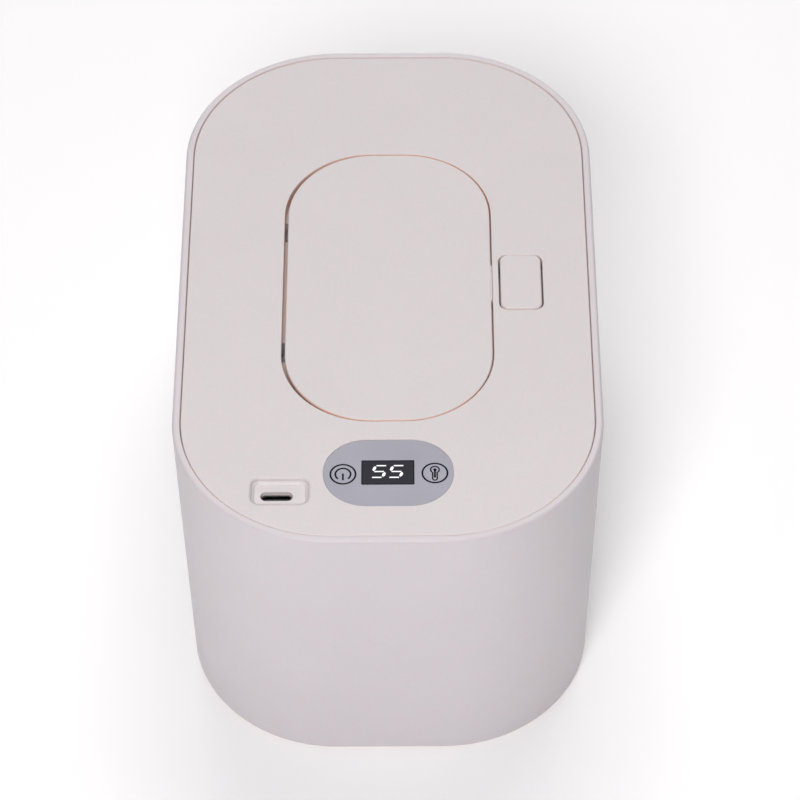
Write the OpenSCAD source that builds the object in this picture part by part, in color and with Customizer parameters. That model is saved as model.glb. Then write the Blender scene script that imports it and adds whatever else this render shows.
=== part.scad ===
// Baby wipe warmer: a drafted one-piece housing with a lift-off heated lid.
// The wipes stand on a sprung plate in the bin and are drawn up through the outlet
// under the flip door. The door is held by a slider that the latch button drives.
// X is to the right, Y to the back and Z up. The body stands at z = 0 on its feet.

/* [Body] */
// Width of the housing across its rim
body_w = 120; // [112:1:150]
// Length of the housing along its rim
body_l = 193.4; // [186:0.2:240]
// Height of the housing moulding, without the feet
body_h = 96.8; // [85:0.2:130]
// Radius of the vertical corners at the rim
corner_r = 44.6; // [40:0.2:46]
// How far each wall leans in from the rim down to the base
wall_lean = 2.1; // [0.5:0.1:2.6]
// Thickness of the housing's wall and floor
wall_t = 2.2; // [1.8:0.1:2.6]
// Outer edge rounding of the rim
rim_r = 0.9; // [0.4:0.1:1.2]
// Rounding of the bottom edge
base_r = 1; // [0.5:0.1:2]
// Height of the rubber feet under the housing
foot_h = 0.8; // [0.6:0.1:3]
// Diameter of a rubber foot
foot_d = 12; // [8:0.5:14]

/* [Bin] */
// Thickness of the insulation pads between housing and bin
foam_t = 3; // [2:0.1:4]
// Thickness of the bin's wall and floor
bin_wall = 1.6; // [1.2:0.1:2]
// Height of the bin's floor above the housing's floor
bin_stand = 3.6; // [3:0.1:6]
// Thickness of the bin's flange
flange_t = 1.8; // [1.4:0.1:2.4]
// Width of a guide rib in the bin
guide_w = 3; // [2:0.1:4]
// Thickness of the lift plate
plate_t = 1.8; // [1.4:0.1:2.4]
// Space for the topmost wipes between the raised plate and the heater
wipe_gap = 8; // [6:0.5:12]
// Depth of the lift plate's skirt
plate_skirt = 5; // [4:0.5:8]
// Wire diameter of the two lift springs
lift_wire = 1.2; // [0.8:0.1:1.6]
// Mean diameter of a lift spring at its foot
lift_foot_d = 38; // [34:1:42]
// Mean diameter of a lift spring at its head
lift_head_d = 25; // [20:1:28]
// Number of turns of a lift spring
lift_turns = 7; // [5:1:9]

/* [Lid] */
// Height of the lid, from its top face to the underside of its cover
lid_h = 14; // [13.6:0.1:18]
// Thickness of the lid's top panel
panel_t = 2; // [1.8:0.1:2.1]
// Gap between the lid and the housing
lid_clear = 0.2; // [0.2:0.05:0.5]
// How far the lid's top lies below the rim
lid_sink = 0.3; // [0.1:0.1:1]
// Thickness of the lid's skirt
skirt_t = 1.8; // [1.4:0.1:2]
// Thickness of the lid's inner cover
cover_t = 1.8; // [1.5:0.1:2]
// Thickness of the aluminium heater plate
heater_t = 1; // [0.8:0.1:1.2]
// Width of the outlet for the wipes
outlet_w = 40; // [34:1:42]
// From each end of the flip door to the end of the outlet
outlet_end = 10.4; // [9:0.2:16]
// Width of the slit in the outlet seal
slit_w = 8; // [5:0.5:12]

/* [Flip door] */
// Width of the flip door
door_w = 58.8; // [58:0.1:59]
// From each end of the housing to the end of the flip door
door_end = 44.3; // [43:0.1:50]
// Corner radius of the flip door
door_r = 25; // [24:0.1:26]
// Thickness of the flip door
door_t = 2.2; // [2:0.1:2.2]
// Gap around the flip door
door_gap = 0.35; // [0.35:0.05:0.5]
// Wider gap on the hinge side of the flip door
hinge_gap = 0.95; // [0.9:0.05:1.2]
// Length of the lip by the latch that closes the door's gap
lip_l = 13.8; // [10:0.2:18]
// Diameter of the hinge pin
pin_d = 1.6; // [1.4:0.1:1.8]
// Width of one hinge neck
neck_w = 4.4; // [3.8:0.1:4.6]
// Depth of the dish under the flip door
dish_depth = 3.9; // [3.8:0.1:4.2]

/* [Latch] */
// Width of the latch button
button_w = 11.8; // [11:0.1:12.4]
// Length of the latch button
button_l = 21.3; // [20:0.1:23]
// How far the button is pressed
press = 1.2; // [0.8:0.1:1.4]
// How far the slider moves while the button is pressed
slide = 1; // [0.8:0.1:1]
// How far the door's nose reaches under the slider's hook
catch_grip = 0.8; // [0.5:0.1:0.8]

/* [Controls] */
// Width of the control label
label_w = 35.8; // [34:0.1:40]
// Depth of the control label from front to back
label_l = 23.6; // [22:0.1:25]
// Width of the display window
window_w = 14.5; // [12:0.1:16]
// Depth of the display window from front to back
window_l = 8.7; // [7:0.1:10]
// Diameter of a key under the label
key_d = 6.2; // [5:0.1:7]
// Width of the charging recess
port_w = 17.4; // [15:0.1:19]
// Depth of the charging recess from front to back
port_l = 10.8; // [9:0.1:11]
// Thickness of the control board
board_t = 1.6; // [1:0.1:2]

/* [Hidden] */
$fn = 48;

// A hair of overlap that makes two shapes one
eps = 0.02;
// Clearance of a shaft in its bore, a soft part on its seat, and a loose part beside a wall
run_clear = 0.05;
seal_gap = 0.1;
fit_clear = 0.2;

// Levels
base_z = foot_h;
floor_z = base_z + wall_t;
rim_z = base_z + body_h;
lid_z = rim_z - lid_sink;
cover_z = lid_z - lid_h;
gasket_t = heater_t;
flange_z = cover_z - gasket_t - seal_gap;

// Half sizes of the box that the round corners of the body are swept about
core_x = body_w / 2 - corner_r;
core_y = body_l / 2 - corner_r;

// Insets from the housing's outer face
lid_inset = wall_t + lid_clear;
bin_inset = wall_t + foam_t + 2 * fit_clear;
bin_in = bin_inset + bin_wall;

// Distance from the corner axis of a face at height z, an inset in from the outer face
function lean(z) = wall_lean * (rim_z - z) / body_h;
function reach(z, inset) = corner_r - lean(z) - inset;

// Points of an arc about c from angle a to angle b
function arc(c, r, a, b, n = 6) =
    [for (i = [0:n]) let (t = a + (b - a) * i / n) [c.x + r * cos(t), c.y + r * sin(t)]];

// A closed tube of round wire along a list of points
function unit(v) = v / norm(v);
function ring_at(p, i, r, sides) =
    let (n = len(p),
         t = unit(p[min(i + 1, n - 1)] - p[max(i - 1, 0)]),
         side = unit(abs(t.z) > 0.9 ? cross(t, [1, 0, 0]) : cross(t, [0, 0, 1])),
         up = cross(side, t))
    [for (k = [0:sides - 1]) p[i] + r * (cos(360 * k / sides) * side + sin(360 * k / sides) * up)];
module wire(p, r, sides = 6) {
    n = len(p);
    points = [for (i = [0:n - 1]) each ring_at(p, i, r, sides)];
    sidewalls = [for (i = [0:n - 2], k = [0:sides - 1]) let (m = (k + 1) % sides)
        each [[i * sides + k, i * sides + m, (i + 1) * sides + m],
              [i * sides + k, (i + 1) * sides + m, (i + 1) * sides + k]]];
    near_end = [for (k = [1:sides - 2]) [0, k + 1, k]];
    far_end = [for (k = [1:sides - 2]) [(n - 1) * sides, (n - 1) * sides + k, (n - 1) * sides + k + 1]];
    polyhedron(points, concat(sidewalls, near_end, far_end));
}

// Sweeps a profile of (distance out, height) about a box with round corners
module sweep(cx, cy) {
    for (q = [0:3]) {
        sx = q == 0 || q == 3 ? 1 : -1;
        sy = q < 2 ? 1 : -1;
        translate([sx * cx, sy * cy, 0])
            rotate([0, 0, 90 * q])
                rotate_extrude(angle = 90) children();
    }
    for (side = [0:3]) side_run(side, 0, side % 2 == 0 ? 2 * cy : 2 * cx, cx, cy) children();
}

// One straight stretch of such a sweep: side 0 is +X, 1 is +Y, 2 is -X and 3 is -Y
module side_run(side, at, width, cx = core_x, cy = core_y) {
    rotate([0, 0, 90 * side])
        translate([side % 2 == 0 ? cx : cy, at + width / 2, 0])
            rotate([90, 0, 0])
                linear_extrude(width) children();
}

// The block inside a sweep
module core(cx, cy, z0, z1) {
    translate([-cx, -cy, z0]) cube([2 * cx, 2 * cy, z1 - z0]);
}

// A plate with round corners
module slab(w, l, r, z0, z1) {
    translate([0, 0, z0])
        linear_extrude(z1 - z0) union() {
            if (w > 2 * r + eps) square([w - 2 * r, l], center = true);
            if (l > 2 * r + eps) square([w, l - 2 * r], center = true);
            for (sx = [-1, 1], sy = [-1, 1])
                translate([sx * (w / 2 - r), sy * (l / 2 - r)]) circle(r);
        }
}

// A plate with round corners whose top edge is rounded and whose lower edge may be bevelled
module soft_slab(w, l, r, z0, z1, edge, bevel = [0, 0]) {
    cx = w / 2 - r;
    cy = l / 2 - r;
    sweep(cx, cy)
        polygon(concat([[0, z0], [r - bevel.x, z0]], bevel.x > 0 ? [[r, z0 + bevel.y]] : [],
                       arc([r - edge, z1 - edge], edge, 0, 90), [[0, z1]]));
    core(cx, cy, z0, z1);
}

// A pocket with round corners that leaves a rounded edge at the surface z1
module pocket(w, l, r, z0, z1, edge) {
    cx = w / 2 - r;
    cy = l / 2 - r;
    sweep(cx, cy)
        polygon(concat([[0, z0], [r, z0]], arc([r + edge, z1 - edge], edge, 180, 90),
                       [[r + edge, z1 + 1], [0, z1 + 1]]));
    core(cx, cy, z0, z1 + 1);
}

// A frame between two plates with round corners
module frame(w, l, r, width, z0, z1) {
    difference() {
        slab(w, l, r, z0, z1);
        slab(w - 2 * width, l - 2 * width, r - width, z0 - 1, z1 + 1);
    }
}

// A pan head screw whose head sits on z = 0 below its seat and whose shank points up
module screw(shank_d, head_d, head_h, length) {
    difference() {
        union() {
            translate([0, 0, -head_h]) cylinder(d = head_d, h = head_h);
            cylinder(d = shank_d, h = length);
        }
        for (a = [0, 90])
            rotate([0, 0, a])
                translate([-head_d * 0.3, -head_d * 0.07, -head_h - eps])
                    cube([head_d * 0.6, head_d * 0.14, head_h * 0.6]);
    }
}

// Housing
rib_w = 1.6;
rib_y = core_y - 6;
rib_x = core_x - 2.4;
rib_sites = [[0, rib_y], [0, 0], [0, -rib_y], [2, rib_y], [2, 0], [2, -rib_y],
             [1, rib_x], [1, -rib_x], [3, rib_x], [3, -rib_x]];
bin_screw_x = core_x + 22;
bin_screw_y = core_y - 18;
bin_screw_d = 3;
bin_head_d = 5.6;
screw_head_h = 1.4;
foot_x = core_x + 22;
foot_y = core_y + 14;
foot_sink = 1;
floor_round = 2;

module four(x, y) {
    for (sx = [-1, 1], sy = [-1, 1]) translate([sx * x, sy * y, 0]) children();
}

module housing_profile() {
    inner_r = 0.4;
    polygon(concat(
        [[0, base_z]],
        arc([reach(base_z + base_r, 0) - base_r, base_z + base_r], base_r, -90, 0),
        arc([reach(rim_z - rim_r, 0) - rim_r, rim_z - rim_r], rim_r, 0, 90),
        arc([reach(rim_z - inner_r, wall_t) + inner_r, rim_z - inner_r], inner_r, 90, 180, 3),
        arc([reach(floor_z + floor_round, wall_t) - floor_round, floor_z + floor_round],
            floor_round, 0, -90),
        [[0, floor_z]]));
}

// The ribs carry the bin's flange
module housing_rib() {
    top = flange_z - flange_t;
    polygon([[reach(floor_z, wall_t - 0.5), floor_z - 0.5],
             [reach(top, wall_t - 0.5), top],
             [reach(top, bin_inset - fit_clear), top],
             [reach(floor_z, bin_inset - fit_clear), floor_z - 0.5]]);
}

module housing() {
    color("#ded4d3") difference() {
        union() {
            sweep(core_x, core_y) housing_profile();
            core(core_x, core_y, base_z, floor_z);
            for (site = rib_sites) side_run(site[0], site[1], rib_w) housing_rib();
        }
        four(foot_x, foot_y)
            translate([0, 0, base_z - 1]) cylinder(d = foot_d + fit_clear, h = 1 + foot_sink);
        four(bin_screw_x, bin_screw_y) {
            translate([0, 0, base_z - 1]) cylinder(d = bin_screw_d + 0.4, h = wall_t + 2);
            translate([0, 0, base_z - 1]) cylinder(d = bin_head_d + 0.8, h = 1 + screw_head_h);
        }
    }
}

module feet() {
    color("#3c3c3e") four(foot_x, foot_y) {
        cylinder(d1 = foot_d - 0.8, d2 = foot_d, h = 0.4);
        translate([0, 0, 0.4]) cylinder(d = foot_d, h = foot_h + foot_sink - 0.4);
    }
}

module bin_screws() {
    seat = base_z + screw_head_h;
    color("silver") four(bin_screw_x, bin_screw_y)
        translate([0, 0, seat])
            screw(bin_screw_d - 0.6, bin_head_d, screw_head_h - 0.1, floor_z + bin_stand - seat);
}

// Wipe bin
bin_z0 = floor_z + bin_stand;
bin_z1 = bin_z0 + bin_wall;
bin_round = 4;
guide_x = core_x + reach(bin_z1, bin_in) - 1.2;
guide_y = core_y - 8;
spring_y = 44;
seat_h = 2;
plate_top = cover_z - heater_t - wipe_gap;
plate_z = plate_top - plate_t;

// Rings in each turn of a coil, and the largest round seat that fits inside a lift spring
coil_rings = 8;
function coil_inner(d) = d * cos(180 / coil_rings) - lift_wire - 2 * fit_clear;

module bin_profile() {
    in_r = bin_round - bin_wall;
    under = flange_z - flange_t;
    polygon(concat(
        [[0, bin_z0]],
        arc([reach(bin_z0 + bin_round, bin_inset) - bin_round, bin_z0 + bin_round], bin_round, -90, 0),
        [[reach(under, bin_inset), under],
         [reach(under, wall_t + lid_clear), under],
         [reach(flange_z, wall_t + lid_clear), flange_z],
         [reach(flange_z, bin_in), flange_z]],
        arc([reach(bin_z1 + in_r, bin_in) - in_r, bin_z1 + in_r], in_r, 0, -90),
        [[0, bin_z1]]));
}

module wipe_bin() {
    guide_top = flange_z - 3;
    stop_out = 1.4;
    color("#e8e6e2") difference() {
        union() {
            sweep(core_x, core_y) bin_profile();
            core(core_x, core_y, bin_z0, bin_z1);
            // guide ribs with an upright inner face for the lift plate, and a nose that stops it
            for (side = [0, 2], y = [-guide_y, guide_y])
                side_run(side, y, guide_w)
                    polygon([[guide_x - core_x, bin_z0 + 0.5],
                             [reach(bin_z0, bin_in - 0.6), bin_z0 + 0.5],
                             [reach(guide_top, bin_in - 0.6), guide_top],
                             [guide_x - core_x, guide_top],
                             [guide_x - core_x - stop_out, plate_top + seal_gap + 1],
                             [guide_x - core_x - stop_out, plate_top + seal_gap],
                             [guide_x - core_x, plate_top + seal_gap]]);
            // legs on the housing's floor
            four(bin_screw_x, bin_screw_y) translate([0, 0, floor_z]) cylinder(d = 7, h = bin_stand + 0.5);
            // collars that hold the feet of the lift springs
            for (y = [-spring_y, spring_y])
                translate([0, y, bin_z1 - eps])
                    cylinder(d = coil_inner(lift_foot_d), h = seat_h);
        }
        four(bin_screw_x, bin_screw_y)
            translate([0, 0, floor_z - 1])
                cylinder(d = bin_screw_d - 0.6 + 2 * run_clear, h = bin_stand + 1.2);
        for (y = [-spring_y, spring_y])
            translate([0, y, bin_z1]) cylinder(d = lift_foot_d - 10, h = seat_h + 1);
    }
}

// Closed-cell pads on the flat stretches of the bin's wall, between the ribs
pad_z0 = bin_z0 + bin_round;
pad_z1 = flange_z - flange_t - 4;
pad_gap = 1.2;
pad_y = rib_y / 2;
pad_l = rib_y - rib_w - 2 * pad_gap;
pad_w = 2 * rib_x - rib_w - 2 * pad_gap;
pad_sites = [[0, pad_y, pad_l], [0, -pad_y, pad_l], [2, pad_y, pad_l], [2, -pad_y, pad_l],
             [1, 0, pad_w], [3, 0, pad_w]];

module insulation_pads() {
    outer = wall_t + fit_clear;
    inner = bin_inset - fit_clear;
    color("#f2f2ee")
        for (site = pad_sites)
            side_run(site[0], site[1], site[2])
                polygon([[reach(pad_z0, inner), pad_z0], [reach(pad_z0, outer), pad_z0],
                         [reach(pad_z1, outer), pad_z1], [reach(pad_z1, inner), pad_z1]]);
}

// Lift plate and its springs
plate_drop = plate_z - bin_z1 - 14;
plate_side = reach(plate_z - plate_drop - plate_skirt, bin_in) - 0.6;

module lift_plate() {
    notch_w = guide_w + 2 * 0.4;
    color("#eceae6") difference() {
        union() {
            sweep(core_x, core_y)
                polygon(concat([[0, plate_z], [plate_side - 1.4, plate_z],
                                [plate_side - 1.4, plate_z - plate_skirt],
                                [plate_side, plate_z - plate_skirt]],
                               arc([plate_side - 1, plate_top - 1], 1, 0, 90),
                               [[0, plate_top]]));
            core(core_x, core_y, plate_z, plate_top);
            for (y = [-spring_y, spring_y])
                translate([0, y, plate_z - seat_h])
                    cylinder(d = coil_inner(lift_head_d), h = seat_h + eps);
        }
        for (side = [0, 2], y = [-guide_y, guide_y])
            rotate([0, 0, 90 * side])
                translate([guide_x - 0.4, y - notch_w / 2, plate_z - plate_skirt - 1])
                    cube([10, notch_w, plate_skirt + plate_t + 2]);
        // drain slots
        for (sx = [-1, 1], i = [-2:2])
            translate([sx * 27, i * 24, 0]) slab(26, 3, 1.5, plate_z - 1, plate_top + 1);
        for (y = [-spring_y, spring_y])
            translate([0, y, plate_z - seat_h - 1]) cylinder(d = lift_head_d - 10, h = seat_h + 1);
    }
}

// Points of a coil spring with closed ends, from height z0 up to z1
function coil(r0, r1, z0, z1, turns, w) =
    [for (i = [0:turns * coil_rings])
        let (t = i / coil_rings,
             rise = max(0, min(1, (t - 1) / (turns - 2))),
             closed = (min(t, 1) + max(0, t - turns + 1)) * w * 1.05,
             r = r0 + (r1 - r0) * rise)
        [r * cos(360 * t), r * sin(360 * t), z0 + w / 2 + closed + rise * (z1 - z0 - w * 3.1)]];

module lift_springs() {
    points = coil(lift_foot_d / 2, lift_head_d / 2, bin_z1, plate_z, lift_turns, lift_wire);
    pitch = (plate_z - bin_z1 - 3.1 * lift_wire) / (lift_turns - 2);
    echo(str("least gap between turns of a lift spring: ", pitch - lift_wire));
    color("#b9bcc0") for (y = [-spring_y, spring_y]) translate([0, y, 0]) wire(points, lift_wire / 2);
}

// Lid: places shared by its parts
panel_under = lid_z - panel_t;
door_l = body_l - 2 * door_end;
outlet_l = door_l - 2 * outlet_end;
cut_w = door_w + door_gap + hinge_gap;
cut_l = door_l + 2 * door_gap;
cut_r = door_r + door_gap;
door_x = 0.27;
door_y = -0.33;
cut_x = door_x + (door_gap - hinge_gap) / 2;
dish_t = 1.5;
dish_z = lid_z - dish_depth;
cut_left = cut_x - cut_w / 2;
cut_right = cut_x + cut_w / 2;

// The hinge axis lies behind the panel's edge, so that the neck lifts the door over it
hinge_back = 3;
hinge_drop = 3.2;
hinge_x = cut_left - hinge_back;
hinge_z = lid_z - hinge_drop;
barrel_r = 1.6;
skin_t = 1.4;
neck_in = 4.7;
neck_out = 6.3;
well_y0 = 20;
well_y1 = 27.4;
neck_y = well_y1 - 0.4 - neck_w / 2;
ear_t = 1.5;
pin_len = 2 * (well_y1 + ear_t) + 1;

// Outlet, centred under the door
outlet_r = outlet_w / 2;
seal_flange = 3.5;

// Latch
button_x = cut_right + 8.2;
button_y = -0.15;
button_r = 2.5;
button_gap_x = 0.45;
button_gap_y = 0.25;
button_rise = 0.25;
hook_y = 5.6;
hook_z1 = lid_z - 2.6;
hook_z0 = hook_z1 - 1;
slider_z1 = lid_z - 4.8;
slider_z0 = slider_z1 - 1.8;
slider_x0 = cut_right - 0.1;
slider_x1 = button_x + 7.3;
slider_y = 9;
nose_x = cut_right - door_gap - 0.1;
lug_x = nose_x - catch_grip - fit_clear;
bracket_z1 = slider_z0 - 0.2;
bracket_t = 1.5;
bracket_z0 = bracket_z1 - bracket_t;
bracket_screw_x = button_x + 1.2;
bracket_screw_y = 14.6;

// Controls
label_x = 0.2;
label_y = -body_l / 2 + 24.75;
label_t = 0.3;
label_sink = 0.4;
window_x = label_x - 0.15;
window_y = label_y + 0.15;
power_x = label_x - 12.45;
temp_x = label_x + 12.75;
key_y = label_y - 0.45;
board_z1 = lid_z - 7;
board_z0 = board_z1 - board_t;
switch_w = 6;
switch_h = 3.4;
stem_d = 3.4;
port_x = -29.5;
port_y = -body_l / 2 + 18.45;
port_depth = 1.6;
port_edge = 1;
port_lean = 0.5;
port_corner = 1.7;
port_floor = 1.3;
usb_x = port_x - 0.85;
usb_y = port_y - 0.75;
usb_w = 8.9;
usb_l = 3.2;
usb_wall = 0.3;
usb_back = board_z1 + 0.8;
tongue_w = 6.7;
tongue_l = 0.7;
usb_top = lid_z - port_depth - port_floor - seal_gap / 2;
board_left = port_x - 8.2;
board_right = label_x + 24;
board_back = label_y + 12;
board_front = label_y - 14;
board_edge = 2.7;
board_bosses = [[board_left + board_edge, board_back - board_edge],
                [board_right - board_edge, board_back - board_edge],
                [board_right - 15, board_front + board_edge]];
small_screw_d = 1.8;

// Lid screws: two on each long side and one in each corner
lid_screw_x = body_w / 2 - 10;
lid_screw_y = core_y - 18;
lid_screw_r = corner_r - 12.6;
front_x = core_x + lid_screw_r * cos(20);
front_y = core_y + lid_screw_r * sin(20);
back_x = core_x + lid_screw_r * cos(55);
back_y = core_y + lid_screw_r * sin(55);
lid_screw_sites = [[-lid_screw_x, lid_screw_y], [lid_screw_x, lid_screw_y], [-lid_screw_x, -lid_screw_y],
                   [lid_screw_x, -lid_screw_y], [-front_x, -front_y], [front_x, -front_y],
                   [-back_x, back_y], [back_x, back_y]];
lid_screw_d = 2.4;
plate_screw_x = body_w / 2 - 22;
plate_screw_y = core_y - 12;
plate_screw_end = body_l / 2 - 26.7;
plate_screw_sites = [[-plate_screw_x, -plate_screw_y], [plate_screw_x, -plate_screw_y],
                     [-plate_screw_x, plate_screw_y], [plate_screw_x, plate_screw_y],
                     [0, -plate_screw_end], [0, plate_screw_end]];
plate_screw_d = 2;

module at_all(sites) {
    for (site = sites) translate([site[0], site[1], 0]) children();
}

module panel_profile() {
    edge = 0.4;
    bottom = cover_z + cover_t;
    polygon(concat(
        [[0, panel_under],
         [reach(panel_under, lid_inset + skirt_t), panel_under],
         [reach(bottom, lid_inset + skirt_t), bottom],
         [reach(bottom, lid_inset), bottom]],
        arc([reach(lid_z - edge, lid_inset) - edge, lid_z - edge], edge, 0, 90, 4),
        [[0, lid_z]]));
}

// The two boxes that hold the hinge necks hang from the panel down to the cover
module hinge_well(grow) {
    foot = cover_z + cover_t - (grow > 0 ? 0 : 1);
    for (s = [-1, 1])
        translate([hinge_x - 3.2 - grow, s > 0 ? well_y0 - grow : -well_y1 - grow, foot])
            cube([neck_out + 4.1 + 2 * grow, well_y1 - well_y0 + 2 * grow, lid_z - skin_t - foot]);
}

module top_panel() {
    hole_w = button_w + 2 * button_gap_x;
    hole_l = button_l + 2 * button_gap_y;
    boss_z0 = cover_z + cover_t;
    color("#e0d6d5") difference() {
        union() {
            sweep(core_x, core_y) panel_profile();
            core(core_x, core_y, panel_under, lid_z);
            translate([cut_x, door_y, 0])
                slab(cut_w + 2 * dish_t, cut_l + 2 * dish_t, cut_r + dish_t,
                     dish_z - dish_t, panel_under + eps);
            hinge_well(ear_t);
            // pocket for the door's catch
            translate([lug_x - 3.2, -hook_y - 2, lid_z - 7.7])
                cube([cut_right - lug_x + 4.4, 2 * hook_y + 4, 5.7 + eps]);
            // guide around the button, open towards the door
            translate([button_x, button_y, 0])
                slab(hole_w + 2.4, hole_l + 2.4, button_r + 1.5, lid_z - 4.2, panel_under + eps);
            translate([port_x, port_y, 0])
                slab(port_w + 1, port_l + 1, port_corner, lid_z - port_depth - port_floor, panel_under + eps);
            at_all(lid_screw_sites) translate([0, 0, boss_z0]) cylinder(d = 6, h = lid_z - 1 - boss_z0);
            at_all(board_bosses) translate([0, 0, board_z1]) cylinder(d = 5, h = lid_z - 1 - board_z1);
            for (s = [-1, 1])
                translate([bracket_screw_x, s * bracket_screw_y, bracket_z1])
                    cylinder(d = 5, h = lid_z - 1 - bracket_z1);
        }
        // dish under the door, and the outlet through its floor
        translate([cut_x, door_y, 0]) pocket(cut_w, cut_l, cut_r, dish_z, lid_z, 0.3);
        translate([door_x, door_y, 0]) slab(outlet_w, outlet_l, outlet_r, dish_z - dish_t - 1, lid_z);
        hinge_well(0);
        translate([hinge_x, pin_len / 2, hinge_z])
            rotate([90, 0, 0]) cylinder(d = pin_d + 0.04, h = pin_len);
        // room for the catch, and the way in for the slider's hook
        translate([lug_x - 1.7, -hook_y - 0.6, lid_z - 6.2])
            cube([cut_right - lug_x + 1.7, 2 * hook_y + 1.2, 6.2 - panel_t]);
        translate([slider_x0 - fit_clear, -hook_y - 0.6, lid_z - 8])
            cube([4, 2 * hook_y + 1.2, 8 - panel_t - fit_clear]);
        translate([button_x, button_y, 0]) pocket(hole_w, hole_l, button_r + 0.2, lid_z - 5, lid_z, 0.3);
        // label recess with the holes for the display and the keys
        translate([label_x, label_y, 0])
            slab(label_w + 0.3, label_l + 0.3, (label_l + 0.3) / 2, lid_z - label_sink, lid_z + 1);
        translate([window_x, window_y, 0])
            slab(window_w + 2 * fit_clear, window_l + 2 * fit_clear, 0.4, panel_under - 1, lid_z);
        for (x = [power_x, temp_x])
            translate([x, key_y, panel_under - 1]) cylinder(d = key_d + 2 * fit_clear, h = panel_t + 1);
        // charging recess with leaning walls and a round edge, and the socket's slot in its floor
        translate([port_x, port_y, 0]) {
            mouth = port_corner + port_lean + port_edge;
            cx = port_w / 2 - mouth;
            cy = port_l / 2 - mouth;
            z = lid_z - port_depth;
            sweep(cx, cy)
                polygon(concat([[0, z], [port_corner - 0.3, z], [port_corner, z + 0.3]],
                               arc([mouth, lid_z - port_edge], port_edge, 180, 90),
                               [[mouth, lid_z + 1], [0, lid_z + 1]]));
            core(cx, cy, z, lid_z + 1);
        }
        translate([usb_x, usb_y, 0])
            slab(usb_w, usb_l, usb_l / 2, lid_z - port_depth - port_floor - 1, lid_z);
        at_all(lid_screw_sites) translate([0, 0, boss_z0 - 1]) cylinder(d = lid_screw_d + 0.1, h = 8);
        at_all(board_bosses) translate([0, 0, board_z1 - 1]) cylinder(d = small_screw_d + 0.1, h = 5);
        for (s = [-1, 1])
            translate([bracket_screw_x, s * bracket_screw_y, bracket_z1 - 1])
                cylinder(d = small_screw_d + 0.1, h = 4.6);
    }
}

// Inner cover: closes the lid from below and carries the heater
collar_t = 1.5;
film_t = 0.3;
heater_in = bin_in + 3;
film_in = heater_in + 6.4;
tail_x = label_x - 9;
tail_y = label_y + 10;
lead_pitch = 6;
lead_r = 0.7;
sensor_y = label_y + 20;
sensor_x = label_x - 14;
sensor_r = 1;
sensor_l = 4;
fuse_x = label_x + 9;
fuse_r = 1.8;
fuse_l = 11;

module cover_profile() {
    upstand_in = lid_inset + skirt_t + fit_clear;
    top = cover_z + cover_t;
    polygon([[0, cover_z],
             [reach(cover_z, lid_inset), cover_z],
             [reach(top, lid_inset), top],
             [reach(top, upstand_in), top],
             [reach(top + 3, upstand_in), top + 3],
             [reach(top + 3, upstand_in + 1.2), top + 3],
             [reach(top, upstand_in + 1.2), top],
             [0, top]]);
}

module inner_cover() {
    top = cover_z + cover_t;
    color("#e6dfdc") difference() {
        union() {
            sweep(core_x, core_y) cover_profile();
            core(core_x, core_y, cover_z, top);
            // collar that carries on the outlet up to the dish
            translate([door_x, door_y, 0])
                slab(outlet_w + 2 * collar_t, outlet_l + 2 * collar_t, outlet_r + collar_t,
                     cover_z - heater_t, dish_z - dish_t);
            at_all(plate_screw_sites) translate([0, 0, top - eps]) cylinder(d = 4.6, h = 2.5);
        }
        translate([door_x, door_y, 0])
            slab(outlet_w, outlet_l, outlet_r, cover_z - heater_t - 1, dish_z);
        at_all(lid_screw_sites) {
            translate([0, 0, cover_z - 1]) cylinder(d = lid_screw_d + 0.4, h = cover_t + 2);
            translate([0, 0, cover_z - 1]) cylinder(d = 4.8, h = 1.9);
        }
        at_all(plate_screw_sites) translate([0, 0, cover_z - 1]) cylinder(d = plate_screw_d + 0.1, h = 4.5);
        // recess for the heater film, slots for its two sensors and holes for the leads
        difference() {
            recess = reach(cover_z, film_in - fit_clear);
            slab(2 * (core_x + recess), 2 * (core_y + recess), recess,
                 cover_z - 1, cover_z + film_t + seal_gap);
            translate([door_x, door_y, 0])
                slab(outlet_w + 2 * collar_t + 2, outlet_l + 2 * collar_t + 2, outlet_r + collar_t + 1,
                     cover_z - 2, cover_z + cover_t);
            at_all(plate_screw_sites) translate([0, 0, cover_z - 2]) cylinder(d = 5, h = 4);
        }
        translate([sensor_x, sensor_y, 0])
            slab(2 * sensor_r + 1.2, sensor_l + 2, 0.5, cover_z - 1, top + 1);
        translate([fuse_x, sensor_y, 0]) slab(fuse_l + 2, 2 * fuse_r + 1.4, 0.5, cover_z - 1, top + 1);
        for (dx = [0, lead_pitch])
            translate([tail_x + dx, tail_y, cover_z - 1]) cylinder(r = lead_r + 0.4, h = cover_t + 2);
    }
}

module lid_gasket() {
    outer = lid_inset + 1;
    inner = bin_in - 0.6;
    color("#cfcfcc") sweep(core_x, core_y)
        polygon([[reach(cover_z, inner), cover_z - gasket_t], [reach(cover_z, outer), cover_z - gasket_t],
                 [reach(cover_z, outer), cover_z], [reach(cover_z, inner), cover_z]]);
}

module lid_screws() {
    color("silver") at_all(lid_screw_sites)
        translate([0, 0, cover_z + 0.9]) screw(lid_screw_d, 4.4, 0.85, 7.4);
}

module heater_plate() {
    side = reach(cover_z, heater_in);
    color("#c9cccf") difference() {
        slab(2 * (core_x + side), 2 * (core_y + side), side, cover_z - heater_t, cover_z);
        translate([door_x, door_y, 0])
            slab(outlet_w + 2 * collar_t + 0.6, outlet_l + 2 * collar_t + 0.6, outlet_r + collar_t + 0.3,
                 cover_z - heater_t - 1, cover_z + 1);
        at_all(plate_screw_sites)
            translate([0, 0, cover_z - heater_t - 1]) cylinder(d = plate_screw_d + 0.3, h = 3);
    }
}

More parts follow.
